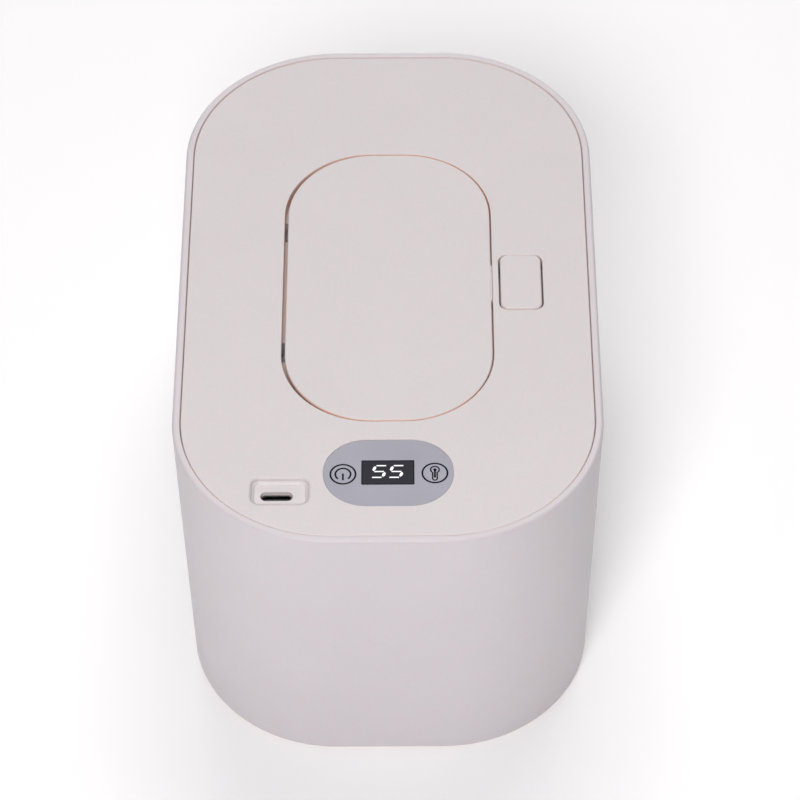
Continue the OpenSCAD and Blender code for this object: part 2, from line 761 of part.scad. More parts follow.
module plate_screws() {
    color("silver") at_all(plate_screw_sites)
        translate([0, 0, cover_z - heater_t]) screw(plate_screw_d, 3.8, 0.7, 4.2);
}

module heater_film() {
    side = reach(cover_z, film_in);
    color("#c87f2f") difference() {
        slab(2 * (core_x + side), 2 * (core_y + side), side, cover_z, cover_z + film_t);
        translate([door_x, door_y, 0])
            slab(outlet_w + 2 * collar_t + 3, outlet_l + 2 * collar_t + 3, outlet_r + collar_t + 1.5,
                 cover_z - 1, cover_z + 1);
        at_all(plate_screw_sites) translate([0, 0, cover_z - 1]) cylinder(d = 5.6, h = 3);
    }
}

module thermistor() {
    color("#1e1e20") translate([sensor_x, sensor_y + sensor_l / 2, cover_z + film_t + sensor_r])
        rotate([90, 0, 0]) cylinder(r = sensor_r, h = sensor_l);
}

module thermal_fuse() {
    color("#e8e4d4") translate([fuse_x - fuse_l / 2, sensor_y, cover_z + film_t + fuse_r])
        rotate([0, 90, 0]) cylinder(r = fuse_r, h = fuse_l);
}

// Two insulated leads from the board down to the film
module heater_leads() {
    bend = 1.6;
    start_y = tail_y - 6;
    run_z = board_z0 - bend;
    end_z = cover_z + film_t;
    for (dx = [0, lead_pitch]) color(dx == 0 ? "#b3261e" : "#2a2a2c") translate([tail_x + dx, 0, 0]) {
        translate([0, start_y + bend, board_z0])
            rotate([0, 90, 0]) rotate([0, 0, -90])
                rotate_extrude(angle = 90) translate([bend, 0]) circle(lead_r);
        translate([0, start_y + bend, run_z])
            rotate([-90, 0, 0]) cylinder(r = lead_r, h = tail_y - start_y - 2 * bend);
        translate([0, tail_y - bend, run_z - bend])
            rotate([0, -90, 0]) rotate_extrude(angle = 90) translate([bend, 0]) circle(lead_r);
        translate([0, tail_y, end_z]) cylinder(r = lead_r, h = run_z - bend - end_z);
    }
}

// Outlet seal: a flange on the dish, a wall in the outlet and a slit membrane
module outlet_seal() {
    flange_h = 0.8;
    wall = 1.2;
    membrane_z = dish_z - 3.2;
    color("#d9d6d2") translate([door_x, door_y, 0]) difference() {
        union() {
            slab(outlet_w + 2 * seal_flange, outlet_l + 2 * seal_flange, outlet_r + seal_flange,
                 dish_z, dish_z + flange_h);
            slab(outlet_w - 0.1, outlet_l - 0.1, outlet_r - 0.05, membrane_z, dish_z + eps);
        }
        slab(outlet_w - 2 * wall, outlet_l - 2 * wall, outlet_r - wall, membrane_z + 0.8, dish_z + 2);
        slab(slit_w, outlet_l - 26, slit_w / 2, membrane_z - 1, dish_z + 2);
        for (a = [-45, 45, 135, 225])
            translate([0, (a > 0 && a < 180 ? 1 : -1) * (outlet_l / 2 - 15), membrane_z - 1])
                rotate([0, 0, a]) translate([0, -0.5, 0]) cube([9, 1, 3]);
    }
}

module hinge_pin() {
    color("silver") translate([hinge_x, pin_len / 2, hinge_z])
        rotate([90, 0, 0]) cylinder(d = pin_d, h = pin_len);
}

// Torsion springs beside the necks: one leg on the well's wall, one by the neck's peg
module hinge_springs() {
    wire_d = 0.5;
    mean_r = pin_d / 2 + 0.1 + wire_d / 2;
    turns = 3;
    span = well_y0 + 0.35;
    turn_points = [for (i = [0:turns * coil_rings])
        let (t = i / coil_rings, a = 90 + 360 * t)
        [mean_r * cos(a), span + 0.25 + t * 0.56, mean_r * sin(a)]];
    last = turn_points[len(turn_points) - 1];
    points = concat([[-2.8, span + 0.25, mean_r]], turn_points,
                    [[last.x - 1.4, last.y, last.z - 0.3], [last.x - 2.7, last.y, last.z - 0.9]]);
    color("#b9bcc0") for (s = [0, 1]) mirror([0, s, 0])
        translate([hinge_x, 0, hinge_z]) wire(points, wire_d / 2);
}

// Flip door
module neck_outline() {
    difference() {
        union() {
            circle(barrel_r);
            intersection() {
                difference() {
                    circle(neck_out);
                    circle(neck_in);
                }
                polygon([[0.4, 0], [neck_out + 1, 0], [neck_out + 1, -neck_out - 1], [-1.9, -neck_out - 1],
                         [-1.9, -3], [0.4, -3]]);
            }
            polygon([[-barrel_r + 0.05, 0], [-1.9, -neck_in - 0.6], [0.4, -neck_in - 0.6],
                     [0.4, -barrel_r + 0.2], [0, 0]]);
            translate([neck_in, -eps]) square([neck_out - neck_in, hinge_drop - door_t + 0.5]);
        }
        circle(pin_d / 2 + run_clear);
    }
}

module flip_door() {
    rib = 1.4;
    top = lid_z;
    under = top - door_t;
    color("#e0d6d5") {
        translate([door_x, door_y, 0]) {
            // the bevel lets the door's edge swing past the edge of the lid
            soft_slab(door_w, door_l, door_r, under, top, 0.4, [0.6, 1.3]);
            translate([door_w / 2 - 2, -lip_l / 2, under + 0.6])
                cube([2 + door_gap - seal_gap, lip_l, door_t - 0.75]);
            frame(outlet_w - 6, outlet_l - 6, outlet_r - 3, rib, under - 2, under + eps);
        }
        for (s = [-1, 1])
            translate([hinge_x, s * neck_y + neck_w / 2, hinge_z])
                rotate([90, 0, 0]) linear_extrude(neck_w) neck_outline();
        // catch: a wall under the door's edge with a nose
        translate([0, hook_y - 0.3, 0]) rotate([90, 0, 0]) linear_extrude(2 * hook_y - 0.6)
            polygon([[lug_x - 1.3, under + eps], [lug_x - 1.3, lid_z - 5.2], [lug_x, lid_z - 5.2],
                     [nose_x, lid_z - 4.6], [nose_x, lid_z - 3.8], [lug_x, lid_z - 3.8],
                     [lug_x, under + eps]]);
    }
}

module door_seal() {
    color("#d0cdc9") translate([door_x, door_y, 0])
        frame(outlet_w + 6.4, outlet_l + 6.4, outlet_r + 3.2, 2.4, dish_z + 0.8 + seal_gap, lid_z - door_t);
}

// Latch button: a cap with two slanted ribs that push the slider sideways
ramp = slide / press;
rib_y0 = 6.6;
rib_y1 = 8;
rib_foot = slider_z0 - 0.2;
rib_head = lid_z - 1.2;
rib_x0 = button_x - 3.7;
rib_xw = 2.4;

module latch_button() {
    cap_z = lid_z - panel_t;
    color("#e0d6d5") {
        translate([button_x, button_y, 0])
            soft_slab(button_w, button_l, button_r, cap_z, lid_z + button_rise, 0.5);
        for (s = [-1, 1])
            translate([0, s > 0 ? rib_y1 : -rib_y0, 0]) rotate([90, 0, 0]) linear_extrude(rib_y1 - rib_y0)
                polygon([[rib_x0, rib_foot], [rib_x0 + rib_xw, rib_foot],
                         [rib_x0 + rib_xw + ramp * (rib_head - rib_foot), rib_head],
                         [rib_x0 + ramp * (rib_head - rib_foot), rib_head]]);
        translate([button_x, button_y, cap_z - 1.6]) cylinder(d = 3.4, h = 1.6 + eps);
    }
}

module latch_slider() {
    gap = 0.12;
    color("#d8d3cf") difference() {
        union() {
            translate([slider_x0, -slider_y, slider_z0])
                cube([slider_x1 - slider_x0, 2 * slider_y, slider_z1 - slider_z0]);
            translate([slider_x0, -hook_y, slider_z0]) cube([1.2, 2 * hook_y, hook_z1 - slider_z0]);
            translate([lug_x + fit_clear, -hook_y, hook_z0])
                cube([slider_x0 + 1.2 - lug_x - fit_clear, 2 * hook_y, hook_z1 - hook_z0]);
        }
        for (y = [-slider_y - 1, hook_y])
            translate([slider_x0 - 1, y, slider_z0 - 1]) cube([4, slider_y + 1 - hook_y, 6]);
        for (s = [-1, 1])
            translate([0, s > 0 ? rib_y1 + gap : -rib_y0 + gap, 0])
                rotate([90, 0, 0]) linear_extrude(rib_y1 - rib_y0 + 2 * gap)
                    polygon([[rib_x0 - gap - ramp, rib_foot - 1],
                             [rib_x0 + rib_xw + gap - ramp, rib_foot - 1],
                             [rib_x0 + rib_xw + gap + ramp * 4, rib_foot + 4],
                             [rib_x0 - gap + ramp * 4, rib_foot + 4]]);
        translate([button_x - slide / 2, button_y, 0])
            slab(7.4 + slide, 7.4, 3.6, slider_z0 - 1, slider_z1 + 1);
    }
}

// Bracket that carries the slider and the button's spring
module latch_bracket() {
    x0 = cut_right + 2.6;
    length = slider_x1 + 2 - x0;
    rail = 1.2;
    color("#c9c6c2") difference() {
        union() {
            translate([x0, -bracket_screw_y - 2.6, bracket_z0])
                cube([length, 2 * bracket_screw_y + 5.2, bracket_t]);
            for (y = [slider_y + fit_clear, -slider_y - fit_clear - rail])
                translate([x0, y, bracket_z0]) cube([length, rail, slider_z1 - bracket_z0]);
            translate([button_x, button_y, bracket_z1 - eps]) cylinder(d = 3, h = 1);
        }
        for (s = [-1, 1]) {
            translate([rib_x0 - 1, s > 0 ? rib_y0 - 0.5 : -rib_y1 - 0.5, bracket_z0 - 1])
                cube([rib_xw + 3, rib_y1 - rib_y0 + 1, bracket_t + 2]);
            translate([bracket_screw_x, s * bracket_screw_y, bracket_z0 - 1])
                cylinder(d = small_screw_d + 0.4, h = bracket_t + 2);
        }
    }
}

module latch_spring() {
    points = coil(2.3, 2.3, bracket_z1, lid_z - panel_t, 4, 0.5);
    color("#b9bcc0") translate([button_x, button_y, 0]) wire(points, 0.25);
}

module bracket_screws() {
    color("silver") for (s = [-1, 1])
        translate([bracket_screw_x, s * bracket_screw_y, bracket_z0]) screw(small_screw_d, 3.4, 0.8, 4.8);
}

// Controls
module control_label() {
    color("#a9afba") difference() {
        translate([label_x, label_y, 0])
            slab(label_w, label_l, label_l / 2, lid_z - label_sink, lid_z - label_sink + label_t);
        translate([window_x, window_y, 0])
            slab(window_w + 0.1, window_l + 0.1, 0.35, lid_z - label_sink - 1, lid_z);
    }
}

module display_window() {
    color("#2b2d33") translate([window_x, window_y, 0])
        slab(window_w, window_l, 0.3, panel_under - seal_gap, lid_z - label_sink + label_t);
}

module display_module() {
    color("#3a3b40") translate([window_x, window_y, 0])
        slab(window_w + 3, window_l + 2, 0.4, board_z1, panel_under - seal_gap);
}

module control_board() {
    color("#2f6b43") difference() {
        translate([0, 0, board_z0]) linear_extrude(board_t)
            polygon([[board_left, board_back], [board_left, board_front + 6], [board_left + 6, board_front],
                     [board_right, board_front], [board_right, board_back]]);
        at_all(board_bosses)
            translate([0, 0, board_z0 - 1]) cylinder(d = small_screw_d + 0.4, h = board_t + 2);
    }
}

module board_screws() {
    color("silver") at_all(board_bosses) translate([0, 0, board_z0]) screw(small_screw_d, 3.6, 0.8, 5);
}

module key_switches() {
    color("#4a4a4e") for (x = [power_x, temp_x]) translate([x, key_y, board_z1]) difference() {
        translate([-switch_w / 2, -switch_w / 2, 0]) cube([switch_w, switch_w, switch_h]);
        translate([0, 0, switch_h - 1.4]) cylinder(d = stem_d + 2 * run_clear, h = 2);
    }
}

// A key: its head lies under the label and its stem in the switch
module key() {
    head_z1 = lid_z - label_sink;
    head_z0 = panel_under - 0.4;
    foot = board_z1 + switch_h - 1;
    color("#d9d3d0") {
        translate([0, key_y, head_z0]) cylinder(d = key_d, h = head_z1 - head_z0);
        translate([0, key_y, foot]) cylinder(d = stem_d, h = head_z0 - foot + eps);
    }
}

module power_key() {
    translate([power_x, 0, 0]) key();
}

module temperature_key() {
    translate([temp_x, 0, 0]) key();
}

module usb_shell() {
    color("silver") translate([usb_x, usb_y, 0]) difference() {
        slab(usb_w, usb_l, usb_l / 2, board_z1, usb_top);
        slab(usb_w - 2 * usb_wall, usb_l - 2 * usb_wall, usb_l / 2 - usb_wall, usb_back, usb_top + 1);
    }
}

module usb_tongue() {
    color("#55565a") translate([usb_x, usb_y, 0]) slab(tongue_w, tongue_l, 0.2, usb_back, usb_top - 0.4);
}

housing();
feet();
wipe_bin();
bin_screws();
insulation_pads();
lift_springs();
lift_plate();
top_panel();
inner_cover();
lid_gasket();
lid_screws();
heater_plate();
plate_screws();
heater_film();
thermistor();
thermal_fuse();
heater_leads();
outlet_seal();
hinge_pin();
hinge_springs();
flip_door();
door_seal();
latch_button();
latch_slider();
latch_bracket();
latch_spring();
bracket_screws();
control_label();
display_window();
display_module();
control_board();
board_screws();
key_switches();
power_key();
temperature_key();
usb_shell();
usb_tongue();
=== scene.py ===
import math
import bmesh
import bpy
from mathutils import Matrix, Vector


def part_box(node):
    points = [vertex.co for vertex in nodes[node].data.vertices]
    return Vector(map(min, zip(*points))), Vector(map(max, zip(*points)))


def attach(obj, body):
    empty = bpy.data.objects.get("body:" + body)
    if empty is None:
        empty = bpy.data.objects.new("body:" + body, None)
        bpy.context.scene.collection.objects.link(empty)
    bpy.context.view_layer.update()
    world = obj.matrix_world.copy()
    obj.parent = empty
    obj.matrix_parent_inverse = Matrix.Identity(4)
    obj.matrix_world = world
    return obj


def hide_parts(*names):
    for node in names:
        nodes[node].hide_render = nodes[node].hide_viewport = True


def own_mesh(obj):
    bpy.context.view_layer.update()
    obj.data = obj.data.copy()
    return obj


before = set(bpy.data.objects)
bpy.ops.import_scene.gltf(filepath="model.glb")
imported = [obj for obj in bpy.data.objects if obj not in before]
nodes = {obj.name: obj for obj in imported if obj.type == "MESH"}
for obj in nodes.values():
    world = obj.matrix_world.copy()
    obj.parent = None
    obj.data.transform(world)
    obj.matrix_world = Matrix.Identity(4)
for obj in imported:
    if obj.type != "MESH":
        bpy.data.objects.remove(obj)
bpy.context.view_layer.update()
MM = 0.001

# Camera. The photograph is taken from in front and well above with a long lens, so the body
# tapers only a little towards the back. Turn, tilt and distance come from the outline of the
# rim, the lid's seam and the door.
frame_px, focal_px, sensor_mm = 800, 3537.3, 36.0
tilt, turn, roll = math.radians(48.381), math.radians(-0.302), math.radians(-0.516)
looked_at, distance = Vector((0.003422, -0.045641, 0.0976)), 0.9865
scene = bpy.context.scene
lens = bpy.data.cameras.new("photo_camera")
lens.sensor_width = sensor_mm
lens.lens = focal_px / frame_px * sensor_mm
lens.clip_start = 0.05
lens.clip_end = 20.0
camera = bpy.data.objects.new("photo_camera", lens)
scene.collection.objects.link(camera)
scene.camera = camera
forward = Vector((math.sin(turn) * math.cos(tilt), math.cos(turn) * math.cos(tilt), -math.sin(tilt)))
level = Vector((math.cos(turn), -math.sin(turn), 0))
upward = level.cross(forward)
right = math.cos(roll) * level + math.sin(roll) * upward
top = -math.sin(roll) * level + math.cos(roll) * upward
stand = looked_at - distance * forward
camera.matrix_world = Matrix((
    (right.x, top.x, -forward.x, stand.x),
    (right.y, top.y, -forward.y, stand.y),
    (right.z, top.z, -forward.z, stand.z),
    (0, 0, 0, 1)))


# Table and light. The object stands on a plain pale sheet of matt paper, lit faintly from below
# as on a light table, between three wide soft lamps: over it, in front and behind. The pale room
# is dark at the table's height and brighter overhead.
def linear(code):
    """An sRGB hex colour as linear red, green, blue and alpha."""
    parts = [int(code[i:i + 2], 16) / 255 for i in (1, 3, 5)]
    return tuple(p / 12.92 if p <= 0.04045 else ((p + 0.055) / 1.055) ** 2.4 for p in parts) + (1.0,)


def add(tree, kind, inputs=None, **settings):
    """Adds a node with its settings, and gives each input a value or a link."""
    made = tree.nodes.new(kind)
    for name, value in settings.items():
        setattr(made, name, value)
    for name, value in (inputs or {}).items():
        if isinstance(value, bpy.types.NodeSocket):
            tree.links.new(value, made.inputs[name])
        else:
            made.inputs[name].default_value = value
    return made


def per_metre(grain_mm):
    """The scale that gives a pattern a grain of so many millimetres."""
    return 1 / (grain_mm * MM)


def begin(name):
    """A new material, its empty tree and its Object coordinates."""
    made = bpy.data.materials.new(name)
    made.use_nodes = True
    made.node_tree.nodes.clear()
    place = add(made.node_tree, "ShaderNodeTexCoord").outputs["Object"]
    return made, made.node_tree, place


def surface(tree, inputs):
    """Ends a material's tree in one Principled shader."""
    shader = add(tree, "ShaderNodeBsdfPrincipled", inputs)
    add(tree, "ShaderNodeOutputMaterial", {"Surface": shader.outputs["BSDF"]})


def lamp(name, place, aim, size, power, tint):
    """A soft rectangular lamp, in metres and watts, that looks at a point."""
    light = bpy.data.lights.new(name, "AREA")
    light.shape = "RECTANGLE"
    light.size, light.size_y = size
    light.energy = power
    light.color = linear(tint)[:3]
    made = bpy.data.objects.new(name, light)
    scene.collection.objects.link(made)
    made.location = place
    made.rotation_euler = (Vector(aim) - Vector(place)).to_track_quat("-Z", "Y").to_euler()


paper, tree, place = begin("matt_paper")
fibre_mm = 10 / 9
fibre = add(tree, "ShaderNodeTexNoise", {"Vector": place, "Scale": per_metre(fibre_mm), "Detail": 3.0})
shade = add(tree, "ShaderNodeMix", {
    0: fibre.outputs["Fac"], 6: linear("#f7f7f7"), 7: linear("#fdfdfd")}, data_type="RGBA")
surface(tree, {"Base Color": shade.outputs[2], "Roughness": 0.9, "Specular IOR Level": 0.1,
               "Emission Color": linear("#ffffff"), "Emission Strength": 0.07})
table_size = 8
bpy.ops.mesh.primitive_plane_add(size=table_size)
floor = bpy.context.object
floor.name = "table_top"
floor.data.materials.append(paper)

body_middle = (0, 0, 0.06)
lamp("lamp_over", place=(0.05, 0.5, 1.3), aim=(0, 0, 0.09), size=(0.8, 0.6), power=7.0, tint="#fffdfd")
lamp("lamp_back", place=(0.1, 1.3, 0.5), aim=body_middle, size=(0.9, 0.6), power=3.5, tint="#fffdfd")
lamp("lamp_front", place=(-0.2, -1.15, 1.15), aim=body_middle, size=(0.6, 0.5), power=15.8,
     tint="#fffdff")
world = bpy.data.worlds.new("pale_room")
world.use_nodes = True
scene.world = world
tree = world.node_tree
look = add(tree, "ShaderNodeSeparateXYZ", {"Vector": add(tree, "ShaderNodeTexCoord").outputs["Generated"]})
glow = add(tree, "ShaderNodeMapRange", {"Value": look.outputs["Z"], "To Min": -0.05, "To Max": 0.32})
tree.links.new(glow.outputs["Result"], tree.nodes["Background"].inputs["Strength"])
tree.nodes["Background"].inputs["Color"].default_value = linear("#fcfafb")
scene.view_settings.view_transform = "Standard"


# Housing. One injection-moulded ABS shell: a drafted wall with a rounded rim, a floor, and
# inside it the ribs that carry the bin. Its outline is a rectangle with wide round corners, so
# one section swept round that path makes it; pockets for feet and screws are cut from below.
def tree_with(name, sizes):
    """A Geometry Nodes tree with a geometry input, named inputs and a geometry output."""
    made = bpy.data.node_groups.new(name, "GeometryNodeTree")
    made.interface.new_socket("Geometry", in_out="INPUT", socket_type="NodeSocketGeometry")
    for size, kind in sizes.items():
        made.interface.new_socket(size, in_out="INPUT", socket_type="NodeSocket" + kind)
    made.interface.new_socket("Geometry", in_out="OUTPUT", socket_type="NodeSocketGeometry")
    return made, add(made, "NodeGroupInput").outputs


def output(tree, shape, finish):
    """Ends a geometry tree: instances made real, and one material."""
    real = add(tree, "GeometryNodeRealizeInstances", {"Geometry": shape})
    painted = add(tree, "GeometryNodeSetMaterial", {
        "Geometry": real.outputs["Geometry"], "Material": finish})
    add(tree, "NodeGroupOutput", {"Geometry": painted.outputs["Geometry"]})


def mesh_of(name, points, edges=(), faces=()):
    """A mesh from points in millimetres."""
    made = bpy.data.meshes.new(name)
    made.from_pydata([(x * MM, y * MM, z * MM) for x, y, z in points], edges, faces)
    return made


def placed(name, mesh):
    """A new object at the origin that holds a mesh."""
    made = bpy.data.objects.new(name, mesh)
    scene.collection.objects.link(made)
    return made


def baked(piece):
    """Turns what a piece's modifiers show into its own plain mesh."""
    graph = bpy.context.evaluated_depsgraph_get()
    mesh = bpy.data.meshes.new_from_object(piece.evaluated_get(graph), depsgraph=graph)
    piece.modifiers.clear()
    piece.data = mesh
    return piece


def grown(name, seed, tree, values):
    """Runs a Geometry Nodes tree on a mesh, with its inputs set first, and bakes the result."""
    piece = placed(name, seed)
    modifier = piece.modifiers.new("shape", "NODES")
    modifier.node_group = tree
    for item in tree.interface.items_tree:
        if item.in_out == "INPUT" and item.name in values:
            modifier[item.identifier] = values[item.name]
    return baked(piece)


sharp_angle = math.radians(32)


def closed(piece):
    """Merges a mesh's doubles, fills its open rims, turns it outwards and keeps real edges sharp."""
    shape = bmesh.new()
    shape.from_mesh(piece.data)
    bmesh.ops.remove_doubles(shape, verts=shape.verts, dist=0.002 * MM)
    bmesh.ops.holes_fill(shape, edges=[e for e in shape.edges if e.is_boundary], sides=0)
    bmesh.ops.recalc_face_normals(shape, faces=shape.faces)
    for face in shape.faces:
        face.smooth = True
    shape.to_mesh(piece.data)
    shape.free()
    piece.data.set_sharp_from_angle(angle=sharp_angle)
    return piece


def carved(piece, tool, operation="DIFFERENCE"):
    """Cuts a closed tool from a piece or joins it on, and removes the tool."""
    modifier = piece.modifiers.new("carve", "BOOLEAN")
    modifier.operation = operation
    modifier.solver = "EXACT"
    modifier.use_self = operation == "UNION"
    modifier.object = tool
    baked(piece)
    bpy.data.objects.remove(tool)
    return piece


def bend(centre, radius, start, end, steps=8):
    """Points of an arc in a section, as (out, up), angles in degrees."""
    turns = [math.radians(start + (end - start) * i / steps) for i in range(steps + 1)]
    return [(centre[0] + radius * math.cos(t), centre[1] + radius * math.sin(t)) for t in turns]


def chain(count, loop=False):
    """The edges that join so many points in a row, and the last to the first in a loop."""
    return [(i, i + 1) for i in range(count - 1)] + ([(count - 1, 0)] if loop else [])


def section(name, points):
    """A section to sweep, as edges. Its first axis points outwards and its second down."""
    return mesh_of(name, [(out, -up, 0) for out, up in points], chain(len(points)))


def in_mm(node):
    """The lowest and highest corner of a CAD node in millimetres."""
    return [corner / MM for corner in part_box(node)]


swept_round, given = tree_with("swept_round_a_rectangle", {
    "Width": "Float", "Length": "Float", "Corner": "Float", "Steps": "Int", "Finish": "Material"})
oblong = add(swept_round, "GeometryNodeCurvePrimitiveQuadrilateral", {
    "Width": given["Width"], "Height": given["Length"]}, mode="RECTANGLE")
path = add(swept_round, "GeometryNodeFilletCurve", {
    "Curve": oblong.outputs["Curve"], "Radius": given["Corner"], "Count": given["Steps"]}, mode="POLY")
profile = add(swept_round, "GeometryNodeMeshToCurve", {"Mesh": given["Geometry"]})
swept = add(swept_round, "GeometryNodeCurveToMesh", {
    "Curve": path.outputs["Curve"], "Profile Curve": profile.outputs["Curve"]})
output(swept_round, swept.outputs["Mesh"], given["Finish"])


def moulded_abs(name, code, shadow):
    """ABS with a spark-eroded grain. The real grain is about 0.1 mm: it is drawn coarser, to show.
    Narrow gaps, found by ambient occlusion, get a painted glow and shade in the base colour, standing in for
    light that seeps through the plastic: warm round the door, paler elsewhere."""
    grain_mm, flow_mm, gap_mm, door_half = 0.5, 26, 2.5, (31.5 * MM, 58.0 * MM, 1.0)
    made, tree, place = begin(name)
    pits = add(tree, "ShaderNodeTexNoise", {
        "Vector": place, "Scale": per_metre(grain_mm), "Detail": 4.0, "Roughness": 0.6})
    flow = add(tree, "ShaderNodeTexNoise", {
        "Vector": place, "Scale": per_metre(flow_mm), "Detail": 2.0, "Distortion": 0.6})
    mottle = add(tree, "ShaderNodeMix", {
        0: flow.outputs["Fac"], 6: linear(shadow), 7: linear(code)}, data_type="RGBA")
    speck = add(tree, "ShaderNodeMapRange", {
        "Value": pits.outputs["Fac"], "From Min": 0.3, "From Max": 0.7, "To Min": 0.975, "To Max": 1.02})
    colour = add(tree, "ShaderNodeVectorMath", {
        0: mottle.outputs[2], "Scale": speck.outputs["Result"]}, operation="SCALE")
    away = add(tree, "ShaderNodeVectorMath", {0: place}, operation="ABSOLUTE")
    share = add(tree, "ShaderNodeVectorMath", {0: away.outputs["Vector"], 1: door_half}, operation="DIVIDE")
    spot = add(tree, "ShaderNodeSeparateXYZ", {"Vector": share.outputs["Vector"]})
    further = add(tree, "ShaderNodeMath", {0: spot.outputs["X"], 1: spot.outputs["Y"]}, operation="MAXIMUM")
    past_door = add(tree, "ShaderNodeMath", {0: further.outputs[0], 1: 1.0}, operation="GREATER_THAN")
    # Painted gap glow: the colours narrow gaps are painted with, warm inside the door's opening and paler
    # past it.
    glow = add(tree, "ShaderNodeMix", {
        0: past_door.outputs[0], 6: linear("#f8c6a8"), 7: linear("#f2e0d9")}, data_type="RGBA")
    open_side = add(tree, "ShaderNodeAmbientOcclusion", {"Distance": gap_mm * MM}, samples=6)
    lit_share = add(tree, "ShaderNodeMapRange", {
        "Value": open_side.outputs["AO"], "From Min": 0.15, "From Max": 0.7})
    # Painted glow and shade: where little open space lies round a point, the base colour turns to the
    # painted gap colour.
    colour_with_painted_glow = add(tree, "ShaderNodeMix", {
        0: lit_share.outputs["Result"], 6: glow.outputs[2], 7: colour.outputs["Vector"]}, data_type="RGBA")
    rough = add(tree, "ShaderNodeMapRange", {"Value": pits.outputs["Fac"], "To Min": 0.35, "To Max": 0.5})
    bump = add(tree, "ShaderNodeBump", {
        "Height": pits.outputs["Fac"], "Strength": 0.3, "Distance": 0.05 * MM})
    surface(tree, {
        "Base Color": colour_with_painted_glow.outputs[2], "Roughness": rough.outputs["Result"],
        "Normal": bump.outputs["Normal"], "IOR": 1.53, "Specular IOR Level": 0.5,
        "Subsurface Weight": 0.3, "Subsurface Radius": (1.0, 0.45, 0.35), "Subsurface Scale": 0.8 * MM})
    return made


# The housing's base colour is a touch bluer than the lid's: a painted tint for the bluish bounce light on
# its walls.
shell_abs = moulded_abs("eroded_abs_pinkish_white", "#d6d0d3", "#d2cccf")

low, high = in_mm("housing")
corner_r, corner_steps = 44.6, 40
wall_t, wall_lean, rim_r, inner_r, base_r, floor_r = 2.2, 2.1, 0.9, 0.4, 1.0, 2.0
floor_edge = 3
core = ((high.x - low.x) / 2 - corner_r, (high.y - low.y) / 2 - corner_r)
floor_z = low.z + wall_t


def reach(z, inset=0.0):
    """How far a leaning face lies from the corners' axis at a height, an inset in from outside."""
    return corner_r - wall_lean * (high.z - z) / (high.z - low.z) - inset


outline = [(reach(low.z + base_r) - base_r - floor_edge, low.z)]
outline += bend((reach(low.z + base_r) - base_r, low.z + base_r), base_r, -90, 0)
outline += bend((reach(high.z - rim_r) - rim_r, high.z - rim_r), rim_r, 0, 90, 12)
outline += bend((reach(high.z - inner_r, wall_t) + inner_r, high.z - inner_r), inner_r, 90, 180)
outline += bend((reach(floor_z + floor_r, wall_t) - floor_r, floor_z + floor_r), floor_r, 0, -90)
outline += [(reach(floor_z + floor_r, wall_t) - floor_r - floor_edge, floor_z)]
wall = section("wall", [(out - corner_r, up) for out, up in outline])
housing = closed(grown("housing_shell", wall, swept_round, {
    "Width": (high.x - low.x) * MM, "Length": (high.y - low.y) * MM, "Corner": corner_r * MM,
    "Steps": corner_steps, "Finish": shell_abs}))


def solids(node):
    """The box of each separate solid of a CAD node in millimetres, from left to right."""
    shape = bmesh.new()
    shape.from_mesh(nodes[node].data)
    bmesh.ops.remove_doubles(shape, verts=shape.verts, dist=0.001 * MM)
    unseen, boxes = set(shape.verts), []
    while unseen:
        to_visit, found = [unseen.pop()], []
        while to_visit:
            point = to_visit.pop()
            found.append(point.co / MM)
            for edge in point.link_edges:
                other = edge.other_vert(point)
                if other in unseen:
                    unseen.remove(other)
                    to_visit.append(other)
        boxes.append(tuple(Vector([pick(p[i] for p in found) for i in range(3)]) for pick in (min, max)))
    shape.free()
    return sorted(boxes, key=lambda pair: (round(pair[0].x, 2), round(pair[0].y, 2)))


def turned(name, points, steps=48):
    """A closed round shape, turned about Z from a section of (radius, height) with its ends on Z."""
    shape = bmesh.new()
    line = [shape.verts.new((r * MM, 0, z * MM)) for r, z in points]
    edges = [shape.edges.new(pair) for pair in zip(line, line[1:])]
    bmesh.ops.spin(shape, geom=line + edges, axis=(0, 0, 1), cent=(0, 0, 0), angle=2 * math.pi,
                   steps=steps, use_merge=True)
    mesh = bpy.data.meshes.new(name)
    shape.to_mesh(mesh)
    shape.free()
    return closed(placed(name, mesh))


def moved(piece, x, y, turn=0.0):
    """Moves a piece's mesh in plan, turned about Z first, in millimetres and degrees."""
    turned_first = Matrix.Rotation(math.radians(turn), 4, "Z")
    piece.data.transform(Matrix.Translation((x * MM, y * MM, 0)) @ turned_first)
    return piece


def six_sided(name, corners):
    """A block from its eight corners: four round one face, then the four behind them."""
    return closed(placed(name, mesh_of(name, corners, faces=[
        (0, 1, 2, 3), (7, 6, 5, 4), (0, 4, 5, 1), (1, 5, 6, 2), (2, 6, 7, 3), (3, 7, 4, 0)])))


# The ribs stand on the housing's wall, ten in all, three on each long side and two at each end.
# Each row is how far its end ribs keep from the corners' axes, and the steps along the wall.
rib_w, rib_top, rib_in, rib_sunk = 1.6, in_mm("wipe_bin")[1].z - 1.8, 5.4, 0.5
side_rows, end_rows = (6, (-1, 0, 1)), (2.4, (-1, 1))
for side in range(4):
    out, half, (back, steps) = (core[1], core[0], end_rows) if side % 2 else (core[0], core[1], side_rows)
    face = [(reach(floor_z, wall_t - rib_sunk), floor_z - rib_sunk),
            (reach(rib_top, wall_t - rib_sunk), rib_top),
            (reach(rib_top, rib_in), rib_top),
            (reach(floor_z, rib_in), floor_z - rib_sunk)]
    for step in steps:
        along = step * (half - back)
        rib = six_sided("rib", [(out + x, along + s * rib_w / 2, z) for s in (-1, 1) for x, z in face])
        carved(housing, moved(rib, 0, 0, 90 * side), "UNION")
screw_boxes, foot_boxes = solids("bin_screws"), solids("feet")
foot_fit, head_hole_r, head_hole_z, shank_hole_r = 0.1, 3.2, low.z + 1.4, 1.7
